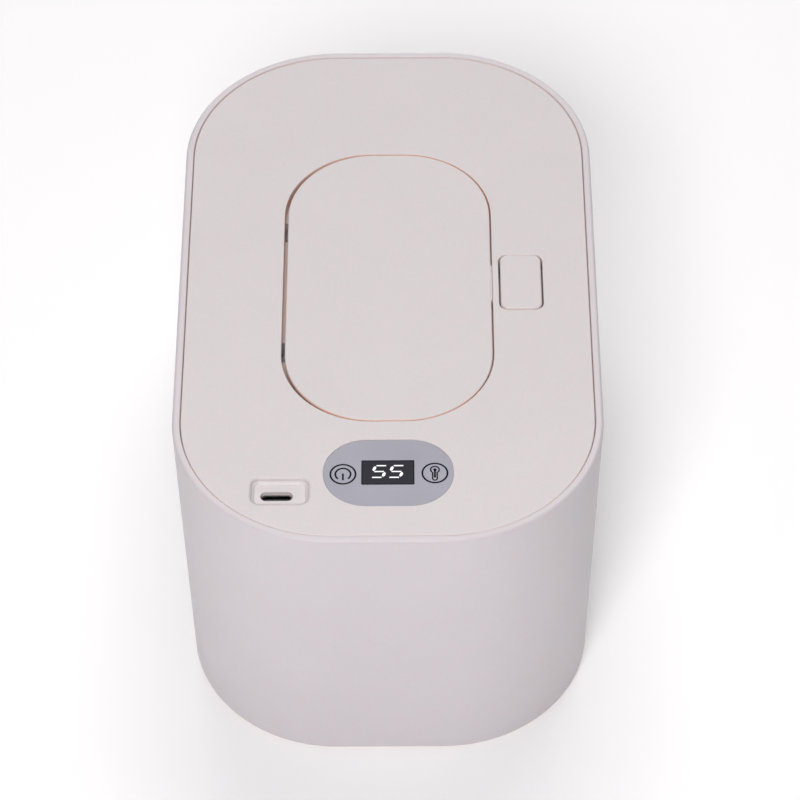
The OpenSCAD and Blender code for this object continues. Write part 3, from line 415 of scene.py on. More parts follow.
for box_low, box_high in foot_boxes:
    centre = (box_low + box_high) / 2
    pocket_r = (box_high.x - box_low.x) / 2 + foot_fit
    pocket = turned("foot_pocket", [
        (0, low.z - 1), (pocket_r, low.z - 1), (pocket_r, box_high.z), (0, box_high.z)])
    carved(housing, moved(pocket, centre.x, centre.y))
for box_low, box_high in screw_boxes:
    centre = (box_low + box_high) / 2
    hole = turned("screw_hole", [
        (0, low.z - 1), (head_hole_r, low.z - 1), (head_hole_r, head_hole_z), (shank_hole_r, head_hole_z),
        (shank_hole_r, floor_z + 1), (0, floor_z + 1)])
    carved(housing, moved(hole, centre.x, centre.y))
closed(housing)
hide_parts("housing")
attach(housing, "base")


# Feet. Four round black nitrile rubber feet, pressed into pockets in the housing's floor. They
# are moulded with a chamfered edge, three grip rings round a shallow cup, and a dull skin.
set_out, given = tree_with("set_out_on_points", {
    "Part": "Object", "Turn": "Float", "Seed": "Int", "Finish": "Material"})
part = add(set_out, "GeometryNodeObjectInfo", {"Object": given["Part"]})
spin = add(set_out, "FunctionNodeRandomValue", {
    "Max": given["Turn"], "Seed": given["Seed"]}, data_type="FLOAT")
angles = add(set_out, "ShaderNodeCombineXYZ", {"Z": spin.outputs["Value"]})
copies = add(set_out, "GeometryNodeInstanceOnPoints", {
    "Points": given["Geometry"], "Instance": part.outputs["Geometry"], "Rotation": angles.outputs["Vector"]})
output(set_out, copies.outputs["Instances"], given["Finish"])


def set_of(name, part, places, finish, turn=0.0, seed=1):
    """Copies a part onto each place, turned at random up to an angle in degrees, and removes it."""
    piece = grown(name, mesh_of(name, places), set_out, {
        "Part": part, "Turn": math.radians(turn), "Seed": seed, "Finish": finish})
    bpy.data.objects.remove(part)
    piece.data.set_sharp_from_angle(angle=sharp_angle)
    return piece


def centres(boxes, z):
    """The places of solids in plan, all at one height."""
    return [((a.x + b.x) / 2, (a.y + b.y) / 2, z) for a, b in boxes]


rubber, tree, place = begin("moulded_nitrile_rubber")
skin = add(tree, "ShaderNodeTexNoise", {"Vector": place, "Scale": per_metre(0.5), "Detail": 5.0})
dust = add(tree, "ShaderNodeTexNoise", {"Vector": place, "Scale": per_metre(4), "Detail": 3.0})
shade = add(tree, "ShaderNodeMix", {
    0: dust.outputs["Fac"], 6: linear("#2c2c2e"), 7: linear("#48484a")}, data_type="RGBA")
rough = add(tree, "ShaderNodeMapRange", {"Value": skin.outputs["Fac"], "To Min": 0.6, "To Max": 0.85})
bump = add(tree, "ShaderNodeBump", {"Height": skin.outputs["Fac"], "Strength": 0.5, "Distance": 0.08 * MM})
surface(tree, {"Base Color": shade.outputs[2], "Roughness": rough.outputs["Result"],
               "Normal": bump.outputs["Normal"], "IOR": 1.52})

foot_low, foot_high = foot_boxes[0]
foot_r, foot_z = (foot_high.x - foot_low.x) / 2, foot_high.z
cup_r, cup_z, groove_z, edge_r = 1.6, 0.35, 0.25, 0.45
grip = ((-0.15, 0.0), (0.35, 0.0), (0.5, groove_z), (0.9, groove_z))
foot = [(0, cup_z), (cup_r, cup_z)]
foot += [(grip_r + out, up) for grip_r in (2.2, 3.4, 4.6) for out, up in grip]
foot = foot[:-2] + [(foot_r - 0.5, 0.0)] + bend((foot_r - edge_r, edge_r), edge_r, -80, 0, 5)
foot += [(foot_r, foot_z), (0, foot_z)]
feet = set_of("rubber_feet", turned("foot", foot, 64), centres(foot_boxes, 0), rubber)
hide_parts("feet")
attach(feet, "base")


# Screws. Zinc-plated steel pan heads with a cross recess and a rolled thread, driven into the
# bosses from below. The plating leaves a cool sheen with a faint blue cast and tiny scratches.
zinc, tree, place = begin("zinc_plated_steel")
cloud = add(tree, "ShaderNodeTexNoise", {"Vector": place, "Scale": per_metre(1.5), "Detail": 4.0})
shade = add(tree, "ShaderNodeMix", {
    0: cloud.outputs["Fac"], 6: linear("#a9aeb6"), 7: linear("#c9ccd0")}, data_type="RGBA")
rough = add(tree, "ShaderNodeMapRange", {"Value": cloud.outputs["Fac"], "To Min": 0.24, "To Max": 0.42})
scratch = add(tree, "ShaderNodeTexNoise", {"Vector": place, "Scale": per_metre(0.25), "Detail": 2.0})
bump = add(tree, "ShaderNodeBump", {
    "Height": scratch.outputs["Fac"], "Strength": 0.2, "Distance": 0.02 * MM})
surface(tree, {"Base Color": shade.outputs[2], "Metallic": 1.0, "Roughness": rough.outputs["Result"],
               "Normal": bump.outputs["Normal"]})


def tube(name, points, radius, sides):
    """A closed round bar along a list of points in millimetres."""
    rings, faces = [], []
    for i, point in enumerate(points):
        along = (Vector(points[min(i + 1, len(points) - 1)]) - Vector(points[max(i - 1, 0)])).normalized()
        side = along.cross((0, 0, 1) if abs(along.z) < 0.9 else (1, 0, 0)).normalized()
        over = side.cross(along)
        for k in range(sides):
            t = 2 * math.pi * k / sides
            rings.append(tuple(Vector(point) + radius * (math.cos(t) * side + math.sin(t) * over)))
    for i in range(len(points) - 1):
        faces += [(i * sides + k, i * sides + (k + 1) % sides, (i + 1) * sides + (k + 1) % sides,
                   (i + 1) * sides + k) for k in range(sides)]
    faces += [tuple(range(sides)), tuple(len(rings) - sides + k for k in range(sides))]
    return closed(placed(name, mesh_of(name, rings, faces=faces)))


def pan_head(name, head_d, head_h, shank_d, length):
    """A pan head screw that stands on its shank: the head hangs below z = 0, with a cross recess."""
    r, dome, core_r, edge = head_d / 2, head_h * 0.45, shank_d * 0.43, 0.05
    points = [(0, -head_h), (r * 0.55, -head_h * 0.99), (r * 0.8, -head_h * 0.93)]
    points += bend((r - dome, -head_h + dome * 1.1), dome, -60, 0, 5)
    points += [(r, -edge), (r - edge, 0), (core_r, 0), (core_r, length - shank_d * 0.5)]
    points += [(shank_d * 0.2, length), (0, length)]
    screw = turned(name, points, 40)
    wide, deep, slot_w, taper = head_d * 0.3, head_h * 0.62, head_d * 0.065, 0.55
    for angle in (0, 90):
        bit = six_sided("bit", [
            (x * wide * k, y * slot_w * k, z) for z, k in ((-head_h - 0.1, 1.0), (-head_h + deep, taper))
            for x, y in ((-1, -1), (1, -1), (1, 1), (-1, 1))])
        carved(screw, moved(bit, 0, 0, angle))
    pitch, thread_r, steps = shank_d * 0.32, shank_d * 0.4, 16
    turns = int((length - shank_d * 0.6) / pitch)
    angles = [2 * math.pi * i / steps for i in range(steps * turns)]
    helix = [(thread_r * math.cos(t), thread_r * math.sin(t), pitch * (0.4 + t / (2 * math.pi)))
             for t in angles]
    carved(screw, tube("thread", helix, shank_d * 0.09, 4), "UNION")
    return closed(screw)


def screws(node, body, head_h, shank_d, seed):
    """A set of pan head screws in place of a CAD node, each at its solid's place."""
    boxes = solids(node)
    a, b = boxes[0]
    screw = pan_head(node, b.x - a.x, head_h, shank_d, b.z - a.z - head_h)
    piece = set_of(node + "_zinc", screw, centres(boxes, a.z + head_h), zinc, turn=90, seed=seed)
    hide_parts(node)
    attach(piece, body)


screws("bin_screws", "base", head_h=1.3, shank_d=2.4, seed=3)


# Wipe bin and lift plate. Both are moulded in natural polypropylene, which stays milky and a
# little see-through, with a silky skin and faint flow lines. The bin hangs by its flange on the
# housing's ribs and stands on four legs, and the plate slides along its four guide ribs.
def polypropylene(name, code, warm):
    """Natural polypropylene: milky, silky and faintly streaked where the melt flowed."""
    streak_w, streak_l = 1000 / 30, 1000 / 9
    made, tree, place = begin(name)
    melt = add(tree, "ShaderNodeMapping", {
        "Vector": place, "Scale": (per_metre(streak_w), per_metre(streak_w), per_metre(streak_l))})
    streak = add(tree, "ShaderNodeTexNoise", {
        "Vector": melt.outputs["Vector"], "Scale": 1.0, "Detail": 4.0, "Distortion": 1.2})
    grain = add(tree, "ShaderNodeTexNoise", {"Vector": place, "Scale": per_metre(0.7), "Detail": 3.0})
    shade = add(tree, "ShaderNodeMix", {
        0: streak.outputs["Fac"], 6: linear(warm), 7: linear(code)}, data_type="RGBA")
    rough = add(tree, "ShaderNodeMapRange", {"Value": grain.outputs["Fac"], "To Min": 0.3, "To Max": 0.48})
    bump = add(tree, "ShaderNodeBump", {
        "Height": grain.outputs["Fac"], "Strength": 0.2, "Distance": 0.05 * MM})
    surface(tree, {
        "Base Color": shade.outputs[2], "Roughness": rough.outputs["Result"],
        "Normal": bump.outputs["Normal"], "IOR": 1.49, "Subsurface Weight": 0.5,
        "Subsurface Radius": (1.0, 0.9, 0.8), "Subsurface Scale": 1.5 * MM})
    return made


def finish_node(node, material):
    """Gives a CAD node's faces one material."""
    mesh = nodes[node].data
    mesh.materials.clear()
    mesh.materials.append(material)


finish_node("wipe_bin", polypropylene("natural_polypropylene", "#e4e2de", "#dad7d1"))
finish_node("lift_plate", polypropylene("white_polypropylene", "#eae9e6", "#e2e0dc"))


# Insulation pads. Six pads of closed-cell polyethylene foam, die cut and pressed between the
# bin's wall and the housing. The cut leaves soft edges, and the skin is dimpled by its cells.
foam, tree, place = begin("closed_cell_polyethylene_foam")
cells = add(tree, "ShaderNodeTexVoronoi", {"Vector": place, "Scale": per_metre(0.9)}, feature="F1")
shade = add(tree, "ShaderNodeMix", {
    0: cells.outputs["Distance"], 6: linear("#f2f1ec"), 7: linear("#d9d7d0")}, data_type="RGBA")
bump = add(tree, "ShaderNodeBump", {
    "Height": cells.outputs["Distance"], "Strength": 0.6, "Distance": 0.2 * MM}, invert=True)
surface(tree, {"Base Color": shade.outputs[2], "Roughness": 0.85, "Normal": bump.outputs["Normal"],
               "Subsurface Weight": 0.3, "Subsurface Scale": 1.0 * MM})

pads = placed("foam_pads", nodes["insulation_pads"].data.copy())
pads.data.materials.clear()
closed(pads)
rounded = pads.modifiers.new("soft_edges", "BEVEL")
rounded.width = 0.7 * MM
rounded.segments = 3
rounded.limit_method = "ANGLE"
baked(pads)
pads.data.materials.append(foam)
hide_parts("insulation_pads")
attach(pads, "base")


# Lift springs. Two conical compression springs of drawn spring steel with closed ends, standing
# on the bin's collars and pushing the lift plate up. The wire is smooth, with fine die lines.
def evenly_grained(name, noise, dark, light, gloss, relief, finish):
    """A finish in which one fine noise varies colour and gloss and gives the relief."""
    made, tree, place = begin(name)
    grain = add(tree, "ShaderNodeTexNoise", {"Vector": place, **noise}).outputs["Fac"]
    shade = add(tree, "ShaderNodeMix", {0: grain, 6: linear(dark), 7: linear(light)}, data_type="RGBA")
    rough = add(tree, "ShaderNodeMapRange", {"Value": grain, "To Min": gloss[0], "To Max": gloss[1]})
    bump = add(tree, "ShaderNodeBump", {"Height": grain, "Strength": relief[0], "Distance": relief[1] * MM})
    surface(tree, {"Base Color": shade.outputs[2], "Roughness": rough.outputs["Result"],
                   "Normal": bump.outputs["Normal"], **finish})
    return made


steel = evenly_grained("drawn_spring_steel", {"Scale": per_metre(0.6), "Detail": 4.0},
                       "#9b9da0", "#c3c5c8", (0.2, 0.38), (0.15, 0.02), {"Metallic": 1.0})

coil_spring, given = tree_with("coil_spring", {
    "Foot Radius": "Float", "Head Radius": "Float", "Height": "Float", "Turns": "Float",
    "Wire": "Float", "Steps": "Int", "Finish": "Material"})
line = add(coil_spring, "GeometryNodeCurvePrimitiveLine")
fine = add(coil_spring, "GeometryNodeResampleCurve", {
    "Curve": line.outputs["Curve"], "Count": given["Steps"]})

# Each row gives one more value. The first and last turn lie on their neighbour, and the turns
# between them climb.
known = {socket.name: socket for socket in given}
known["share"] = add(coil_spring, "GeometryNodeSplineParameter").outputs["Factor"]
for value, operation, first, second in (
        ("turns done", "MULTIPLY", "share", "Turns"),
        ("past first turn", "SUBTRACT", "turns done", 1.0),
        ("climbing turns", "SUBTRACT", "Turns", 2.0),
        ("part climbed", "DIVIDE", "past first turn", "climbing turns"),
        ("none or more", "MAXIMUM", "part climbed", 0.0),
        ("climb", "MINIMUM", "none or more", 1.0),
        ("to the end", "SUBTRACT", "turns done", "Turns"),
        ("into last turn", "ADD", "to the end", 1.0),
        ("last turn", "MAXIMUM", "into last turn", 0.0),
        ("first turn", "MINIMUM", "turns done", 1.0),
        ("flat turns", "ADD", "first turn", "last turn"),
        ("spaced turns", "MULTIPLY", "flat turns", 1.05),
        ("wires up", "ADD", "spaced turns", 0.5),
        ("wound", "MULTIPLY", "wires up", "Wire"),
        ("flat height", "MULTIPLY", "Wire", 3.1),
        ("free height", "SUBTRACT", "Height", "flat height"),
        ("rise", "MULTIPLY", "climb", "free height"),
        ("widening", "SUBTRACT", "Head Radius", "Foot Radius"),
        ("grown by", "MULTIPLY", "climb", "widening"),
        ("radius", "ADD", "Foot Radius", "grown by"),
        ("angle", "MULTIPLY", "turns done", 2 * math.pi),
        ("cosine", "COSINE", "angle", 0.0),
        ("sine", "SINE", "angle", 0.0),
        ("x", "MULTIPLY", "radius", "cosine"),
        ("y", "MULTIPLY", "radius", "sine"),
        ("z", "ADD", "wound", "rise"),
        ("wire radius", "MULTIPLY", "Wire", 0.5)):
    known[value] = add(coil_spring, "ShaderNodeMath", {
        0: known.get(first, first), 1: known.get(second, second)}, operation=operation).outputs[0]
spot = add(coil_spring, "ShaderNodeCombineXYZ", {"X": known["x"], "Y": known["y"], "Z": known["z"]})
helix = add(coil_spring, "GeometryNodeSetPosition", {
    "Geometry": fine.outputs["Curve"], "Position": spot.outputs["Vector"]})
upright = add(coil_spring, "GeometryNodeSetCurveNormal", {"Curve": helix.outputs["Geometry"]}, mode="Z_UP")
wire = add(coil_spring, "GeometryNodeCurvePrimitiveCircle", {
    "Resolution": 10, "Radius": known["wire radius"]})
drawn = add(coil_spring, "GeometryNodeCurveToMesh", {
    "Curve": upright.outputs["Curve"], "Profile Curve": wire.outputs["Curve"], "Fill Caps": True})
copies = add(coil_spring, "GeometryNodeInstanceOnPoints", {
    "Points": given["Geometry"], "Instance": drawn.outputs["Mesh"]})
output(coil_spring, copies.outputs["Instances"], given["Finish"])


def springs(name, node, wire_d, head_d, turns, body):
    """Coil springs in place of a CAD node, attached to a body. A spring with no head diameter of its own is
    straight."""
    boxes = solids(node)
    a, b = boxes[0]
    foot_r, turn_steps = (max(b.x - a.x, b.y - a.y) - wire_d) / 2, 48
    head_r = head_d / 2 if head_d else foot_r
    piece = closed(grown(name, mesh_of(name, centres(boxes, a.z)), coil_spring, {
        "Foot Radius": foot_r * MM, "Head Radius": head_r * MM, "Height": (b.z - a.z) * MM,
        "Turns": float(turns), "Wire": wire_d * MM, "Steps": turns * turn_steps, "Finish": steel}))
    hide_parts(node)
    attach(piece, body)
    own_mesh(piece)


springs("lift_coils", "lift_springs", wire_d=1.2, head_d=25.0, turns=7, body="base")


# Lid panel. The lid's top is the same ABS as the housing, with the dish for the door, the
# recesses for label and socket, and all its bosses moulded in one piece.
lid_abs = moulded_abs("eroded_abs_warm_white", "#d7d1d1", "#d3cdcd")
finish_node("top_panel", lid_abs)


# Inner cover. It closes the lid from below and carries the heater, so it is moulded in a stiffer
# glass-filled nylon, whose fibres leave a slightly frosted, mottled skin.
nylon = evenly_grained(
    "glass_filled_nylon", {"Scale": per_metre(1.2), "Detail": 6.0, "Roughness": 0.7, "Distortion": 0.8},
    "#cfc9c4", "#dcd7d3", (0.45, 0.7), (0.3, 0.05), {"IOR": 1.54})
finish_node("inner_cover", nylon)
screws("lid_screws", "lid", head_h=0.85, shank_d=2.4, seed=5)


# Gasket and seals. Liquid silicone rubber, moulded in milky grey: the ring between lid and bin,
# the slit outlet and the ring under the door. It is soft, a little see-through and dust-dulled.
silicone, tree, place = begin("moulded_silicone")
haze = add(tree, "ShaderNodeTexNoise", {"Vector": place, "Scale": per_metre(3), "Detail": 5.0})
skin = add(tree, "ShaderNodeTexNoise", {"Vector": place, "Scale": per_metre(0.4), "Detail": 2.0})
shade = add(tree, "ShaderNodeMix", {
    0: haze.outputs["Fac"], 6: linear("#c6c3bf"), 7: linear("#d6d3d0")}, data_type="RGBA")
rough = add(tree, "ShaderNodeMapRange", {"Value": haze.outputs["Fac"], "To Min": 0.42, "To Max": 0.62})
bump = add(tree, "ShaderNodeBump", {"Height": skin.outputs["Fac"], "Strength": 0.25, "Distance": 0.04 * MM})
surface(tree, {
    "Base Color": shade.outputs[2], "Roughness": rough.outputs["Result"], "Normal": bump.outputs["Normal"],
    "IOR": 1.41, "Subsurface Weight": 0.6, "Subsurface Radius": (1.0, 0.95, 0.9),
    "Subsurface Scale": 1.2 * MM})
for node in ("lid_gasket", "outlet_seal", "door_seal"):
    finish_node(node, silicone)


# Heater. A rolled aluminium plate, held to the cover by six screws, spreads the heat of the film
# of amber polyimide over etched foil on its back. Its rolling lines run the length of the plate.
aluminium, tree, place = begin("rolled_aluminium")
line_w, line_l = 0.6, 1000 / 12
rolling = add(tree, "ShaderNodeMapping", {
    "Vector": place, "Scale": (per_metre(line_w), per_metre(line_l), per_metre(line_w))})
lines = add(tree, "ShaderNodeTexNoise", {"Vector": rolling.outputs["Vector"], "Scale": 1.0, "Detail": 5.0})
shade = add(tree, "ShaderNodeMix", {
    0: lines.outputs["Fac"], 6: linear("#b4b7ba"), 7: linear("#d3d5d7")}, data_type="RGBA")
rough = add(tree, "ShaderNodeMapRange", {"Value": lines.outputs["Fac"], "To Min": 0.28, "To Max": 0.46})
bump = add(tree, "ShaderNodeBump", {"Height": lines.outputs["Fac"], "Strength": 0.2, "Distance": 0.02 * MM})
surface(tree, {"Base Color": shade.outputs[2], "Metallic": 1.0, "Roughness": rough.outputs["Result"],
               "Normal": bump.outputs["Normal"]})
finish_node("heater_plate", aluminium)
screws("plate_screws", "lid", head_h=0.7, shank_d=2.0, seed=7)

polyimide, tree, place = begin("polyimide_film_over_etched_foil")
track_mm, waves_per_scale = 4, 20 / (2 * math.pi)
tracks = add(tree, "ShaderNodeTexWave", {
    "Vector": place, "Scale": per_metre(track_mm) / waves_per_scale,
    "Distortion": 0.0}, wave_type="BANDS", bands_direction="X")
etched = add(tree, "ShaderNodeMapRange", {
    "Value": tracks.outputs["Fac"], "From Min": 0.35, "From Max": 0.45})
shade = add(tree, "ShaderNodeMix", {
    0: etched.outputs["Result"], 6: linear("#c87f2f"), 7: linear("#8e5320")}, data_type="RGBA")
bump = add(tree, "ShaderNodeBump", {
    "Height": etched.outputs["Result"], "Strength": 0.5, "Distance": 0.05 * MM})
surface(tree, {"Base Color": shade.outputs[2], "Roughness": 0.25, "Normal": bump.outputs["Normal"],
               "IOR": 1.7, "Coat Weight": 0.4, "Coat Roughness": 0.1})
finish_node("heater_film", polyimide)


# Sensor, cut-out and leads. The thermistor is a bead in black epoxy and the thermal fuse a glazed
# ceramic tube, both laid on the film. Two silicone-insulated leads, red and black, feed it.
epoxy = evenly_grained("black_epoxy_resin", {"Scale": per_metre(0.8), "Detail": 3.0},
                       "#1b1b1d", "#2b2b2e", (0.3, 0.5), (0.3, 0.04), {"IOR": 1.55})
finish_node("thermistor", epoxy)

ceramic, tree, place = begin("glazed_ceramic")
speckle = add(tree, "ShaderNodeTexVoronoi", {"Vector": place, "Scale": per_metre(0.8)})
fleck = add(tree, "ShaderNodeMapRange", {"Value": speckle.outputs["Distance"], "From Max": 0.25})
shade = add(tree, "ShaderNodeMix", {
    0: fleck.outputs["Result"], 6: linear("#cfc8b4"), 7: linear("#e8e4d4")}, data_type="RGBA")
surface(tree, {"Base Color": shade.outputs[2], "Roughness": 0.35, "IOR": 1.52, "Coat Weight": 0.6,
               "Coat Roughness": 0.08})
finish_node("thermal_fuse", ceramic)

insulation, tree, place = begin("silicone_wire_insulation")
lead_low, lead_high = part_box("heater_leads")
side = add(tree, "ShaderNodeSeparateXYZ", {"Vector": place})
second = add(tree, "ShaderNodeMath", {
    0: side.outputs["X"], 1: (lead_low.x + lead_high.x) / 2}, operation="GREATER_THAN")
extruded = add(tree, "ShaderNodeTexNoise", {"Vector": place, "Scale": per_metre(1.2), "Detail": 3.0})
shade = add(tree, "ShaderNodeMix", {
    0: second.outputs[0], 6: linear("#b3261e"), 7: linear("#242426")}, data_type="RGBA")
tone = add(tree, "ShaderNodeMapRange", {"Value": extruded.outputs["Fac"], "To Min": 0.85, "To Max": 1.1})
colour = add(tree, "ShaderNodeVectorMath", {
    0: shade.outputs[2], "Scale": tone.outputs["Result"]}, operation="SCALE")
surface(tree, {"Base Color": colour.outputs["Vector"], "Roughness": 0.55, "IOR": 1.41})
finish_node("heater_leads", insulation)


# Hinge. A ground steel pin runs through both wells and the door's necks, and beside each neck a
# torsion spring of three turns flips the door open. Its legs bear on the well and on the neck.
ground, tree, place = begin("ground_steel")
grind = add(tree, "ShaderNodeMapping", {
    "Vector": place, "Scale": (per_metre(5), per_metre(0.3), per_metre(5))})
rings = add(tree, "ShaderNodeTexNoise", {"Vector": grind.outputs["Vector"], "Scale": 1.0, "Detail": 3.0})
shade = add(tree, "ShaderNodeMix", {
    0: rings.outputs["Fac"], 6: linear("#a5a7aa"), 7: linear("#cdcfd1")}, data_type="RGBA")
rough = add(tree, "ShaderNodeMapRange", {"Value": rings.outputs["Fac"], "To Min": 0.15, "To Max": 0.3})
surface(tree, {"Base Color": shade.outputs[2], "Metallic": 1.0, "Roughness": rough.outputs["Result"]})
finish_node("hinge_pin", ground)

pin_low, pin_high = in_mm("hinge_pin")
hinge = (pin_low + pin_high) / 2
wire_d, turns, pitch, on_pin, steps = 0.5, 3, 0.56, 0.1, 24
well_leg, neck_leg = 2.8, ((1.4, 0.3), (2.7, 0.9))
coil_r = (pin_high.x - pin_low.x) / 2 + on_pin + wire_d / 2
coil_start = solids("hinge_springs")[1][0].y + wire_d / 2
wound = []
for i in range(turns * steps + 1):
    angle = math.radians(90 + 360 * i / steps)
    wound.append((coil_r * math.cos(angle), coil_start + pitch * i / steps, coil_r * math.sin(angle)))
x, y, z = wound[-1]
legs = [(-well_leg, coil_start, coil_r)] + wound + [(x - out, y, z - down) for out, down in neck_leg]
hinge_coils, other = [
    tube("hinge_coils", [(x + hinge.x, y * side, z + hinge.z) for x, y, z in legs], wire_d / 2, 10)
    for side in (1, -1)]
shape = bmesh.new()
shape.from_mesh(hinge_coils.data)
shape.from_mesh(other.data)
shape.to_mesh(hinge_coils.data)
shape.free()
bpy.data.objects.remove(other)
hinge_coils.data.materials.append(steel)
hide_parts("hinge_springs")
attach(hinge_coils, "lid")


# Flip door and button. Both are the lid's ABS, moulded in the same eroded tool finish. The door
# turns on its two necks, and the button slides in its opening over the latch.
for node in ("flip_door", "latch_button"):
    finish_node(node, lid_abs)


# Latch. The slider and its bracket are moulded in acetal, a slippery milky plastic with a waxy
# sheen, and a small compression spring returns the button.
acetal = evenly_grained("moulded_acetal", {"Scale": per_metre(1.4), "Detail": 4.0},
                        "#d3cdc9", "#e0dbd8", (0.25, 0.4), (0.12, 0.04), {
                            "IOR": 1.48, "Subsurface Weight": 0.35, "Subsurface Radius": (1.0, 0.9, 0.8),
                            "Subsurface Scale": 1.0 * MM})
for node in ("latch_slider", "latch_bracket"):
    finish_node(node, acetal)
springs("latch_coil", "latch_spring", wire_d=0.5, head_d=None, turns=4, body="lid")
screws("bracket_screws", "lid", head_h=0.8, shank_d=1.8, seed=9)


# Control label. A polyester film, printed blue-grey from behind and laid in its recess. The
# print has the fine even shimmer of pearl ink under a satin face.
film, tree, place = begin("printed_polyester_film")
pearl = add(tree, "ShaderNodeTexNoise", {"Vector": place, "Scale": per_metre(0.35), "Detail": 2.0})
wash = add(tree, "ShaderNodeTexNoise", {"Vector": place, "Scale": per_metre(14), "Detail": 1.0})
shade = add(tree, "ShaderNodeMix", {
    0: wash.outputs["Fac"], 6: linear("#9696a1"), 7: linear("#a2a2ad")}, data_type="RGBA")
tone = add(tree, "ShaderNodeMapRange", {"Value": pearl.outputs["Fac"], "To Min": 0.96, "To Max": 1.04})
colour = add(tree, "ShaderNodeVectorMath", {
    0: shade.outputs[2], "Scale": tone.outputs["Result"]}, operation="SCALE")
rough = add(tree, "ShaderNodeMapRange", {"Value": pearl.outputs["Fac"], "To Min": 0.36, "To Max": 0.46})
surface(tree, {"Base Color": colour.outputs["Vector"], "Metallic": 0.1, "Roughness": rough.outputs["Result"],
               "IOR": 1.57, "Specular IOR Level": 0.35})
finish_node("control_label", film)


# Symbols. Dark ink on the label: a ring with the power sign over the left key, and a ring with a
# thermometer over the right one. Each line is a thin printed ribbon that lies on the film.
printed_line, given = tree_with("printed_line", {"Width": "Float", "Ink": "Float", "Finish": "Material"})
drawn = add(printed_line, "GeometryNodeMeshToCurve", {"Mesh": given["Geometry"]})
flat = add(printed_line, "GeometryNodeSetCurveNormal", {"Curve": drawn.outputs["Curve"]}, mode="Z_UP")
nib = add(printed_line, "GeometryNodeCurvePrimitiveQuadrilateral", {
    "Width": given["Width"], "Height": given["Ink"]}, mode="RECTANGLE")
ribbon = add(printed_line, "GeometryNodeCurveToMesh", {
    "Curve": flat.outputs["Curve"], "Profile Curve": nib.outputs["Curve"], "Fill Caps": True})
output(printed_line, ribbon.outputs["Mesh"], given["Finish"])

ink, tree, place = begin("screen_printed_ink")
mesh_marks = add(tree, "ShaderNodeTexNoise", {"Vector": place, "Scale": per_metre(0.2), "Detail": 2.0})
shade = add(tree, "ShaderNodeMix", {
    0: mesh_marks.outputs["Fac"], 6: linear("#080a10"), 7: linear("#101219")}, data_type="RGBA")
surface(tree, {"Base Color": shade.outputs[2], "Roughness": 0.6, "IOR": 1.5, "Specular IOR Level": 0.08})


def middle(node):
    """The middle of a CAD node in plan, in millimetres."""
    node_low, node_high = in_mm(node)
    return ((node_low + node_high) / 2).xy


def drawn_line(points, width, top_z, finish, loop):
    """One printed line through points in plan."""
    seed = mesh_of("line", [(x, y, top_z) for x, y in points], chain(len(points), loop))
    return grown("line", seed, printed_line, {"Width": width * MM, "Ink": ink_t * MM, "Finish": finish})


def joined(name, pieces):
    """Several pieces as one."""
    whole = bmesh.new()
    for piece in pieces:
        whole.from_mesh(piece.data)
    materials = list(pieces[0].data.materials)
    mesh = bpy.data.meshes.new(name)
    whole.to_mesh(mesh)
    whole.free()
    for piece in pieces:
        bpy.data.objects.remove(piece)
    made = placed(name, mesh)
    for material in materials:
        mesh.materials.append(material)
    return closed(made)


def ring(centre, radius, steps=64):
    """Points round a circle."""
    return bend(centre, radius, 0, 360 - 360 / steps, steps - 1)


ink_t, circle_r, thick, fine = 0.03, 3.45, 0.5, 0.4
ink_rise = ink_t * 0.4
ink_z = in_mm("control_label")[1].z + ink_rise
power, sign_r, stem_top, stem_end = middle("power_key"), 2.1, 0.25, -2.15
gauge = middle("temperature_key") + Vector((0, 0.3))
bulb, bulb_r = gauge + Vector((0, 1.18)), 1.18
tube_r, tube_top, tube_end = 0.62, 0.35, -1.95
mercury_w, mercury_end, drop_r, drop_w = 0.54, -1.65, 0.24, 0.48
lines = [(ring(power, circle_r), thick, True), (bend(power, sign_r, -50, 230, 40), thick, False),
         ([power + Vector((0, stem_top)), power + Vector((0, stem_end))], thick, False),
         (ring(gauge, circle_r), thick, True), (bend(bulb, bulb_r, -48, 228, 32), fine, False),
         (bend(gauge + Vector((0, tube_end)), tube_r, 180, 360, 12), fine, False),
         ([bulb, gauge + Vector((0, mercury_end))], mercury_w, False),
         (ring(bulb, drop_r, 16), drop_w, True)]
lines += [([gauge + Vector((side, tube_end)), gauge + Vector((side, tube_top))], fine, False)
          for side in (-tube_r, tube_r)]
symbols = joined("printed_symbols", [
    drawn_line(points, width, ink_z, ink, loop) for points, width, loop in lines])
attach(symbols, "lid")


# Display. A window of smoked acrylic with a dark printed edge, and the display's light showing
# through it. The warmer shows 55: two figures of slanted, mitred bars.
acrylic, tree, place = begin("smoked_acrylic")
haze = add(tree, "ShaderNodeTexNoise", {"Vector": place, "Scale": per_metre(5), "Detail": 2.0})
shade = add(tree, "ShaderNodeMix", {
    0: haze.outputs["Fac"], 6: linear("#21212b"), 7: linear("#262630")}, data_type="RGBA")
surface(tree, {"Base Color": shade.outputs[2], "Roughness": 0.25, "IOR": 1.49, "Specular IOR Level": 0.15})
finish_node("display_window", acrylic)

lit, tree, place = begin("lit_white_segments")
glow = add(tree, "ShaderNodeTexNoise", {"Vector": place, "Scale": per_metre(1.2), "Detail": 1.0})
shade = add(tree, "ShaderNodeMix", {
    0: glow.outputs["Fac"], 6: linear("#e4e6ec"), 7: linear("#ffffff")}, data_type="RGBA")
surface(tree, {"Base Color": linear("#f2f3f5"), "Roughness": 0.6, "Emission Color": shade.outputs[2],
               "Emission Strength": 0.35})

digit_h, digit_w, digit_pitch, slant = 4.2, 3.2, 4.77, 0.29
flat_t, upright_t, mitre, sunk, proud = 0.4, 0.82, 0.2, 0.01, 0.02
window_low, window_high = in_mm("display_window")
figure_mid = middle("display_window") + Vector((-0.02, 0.32))


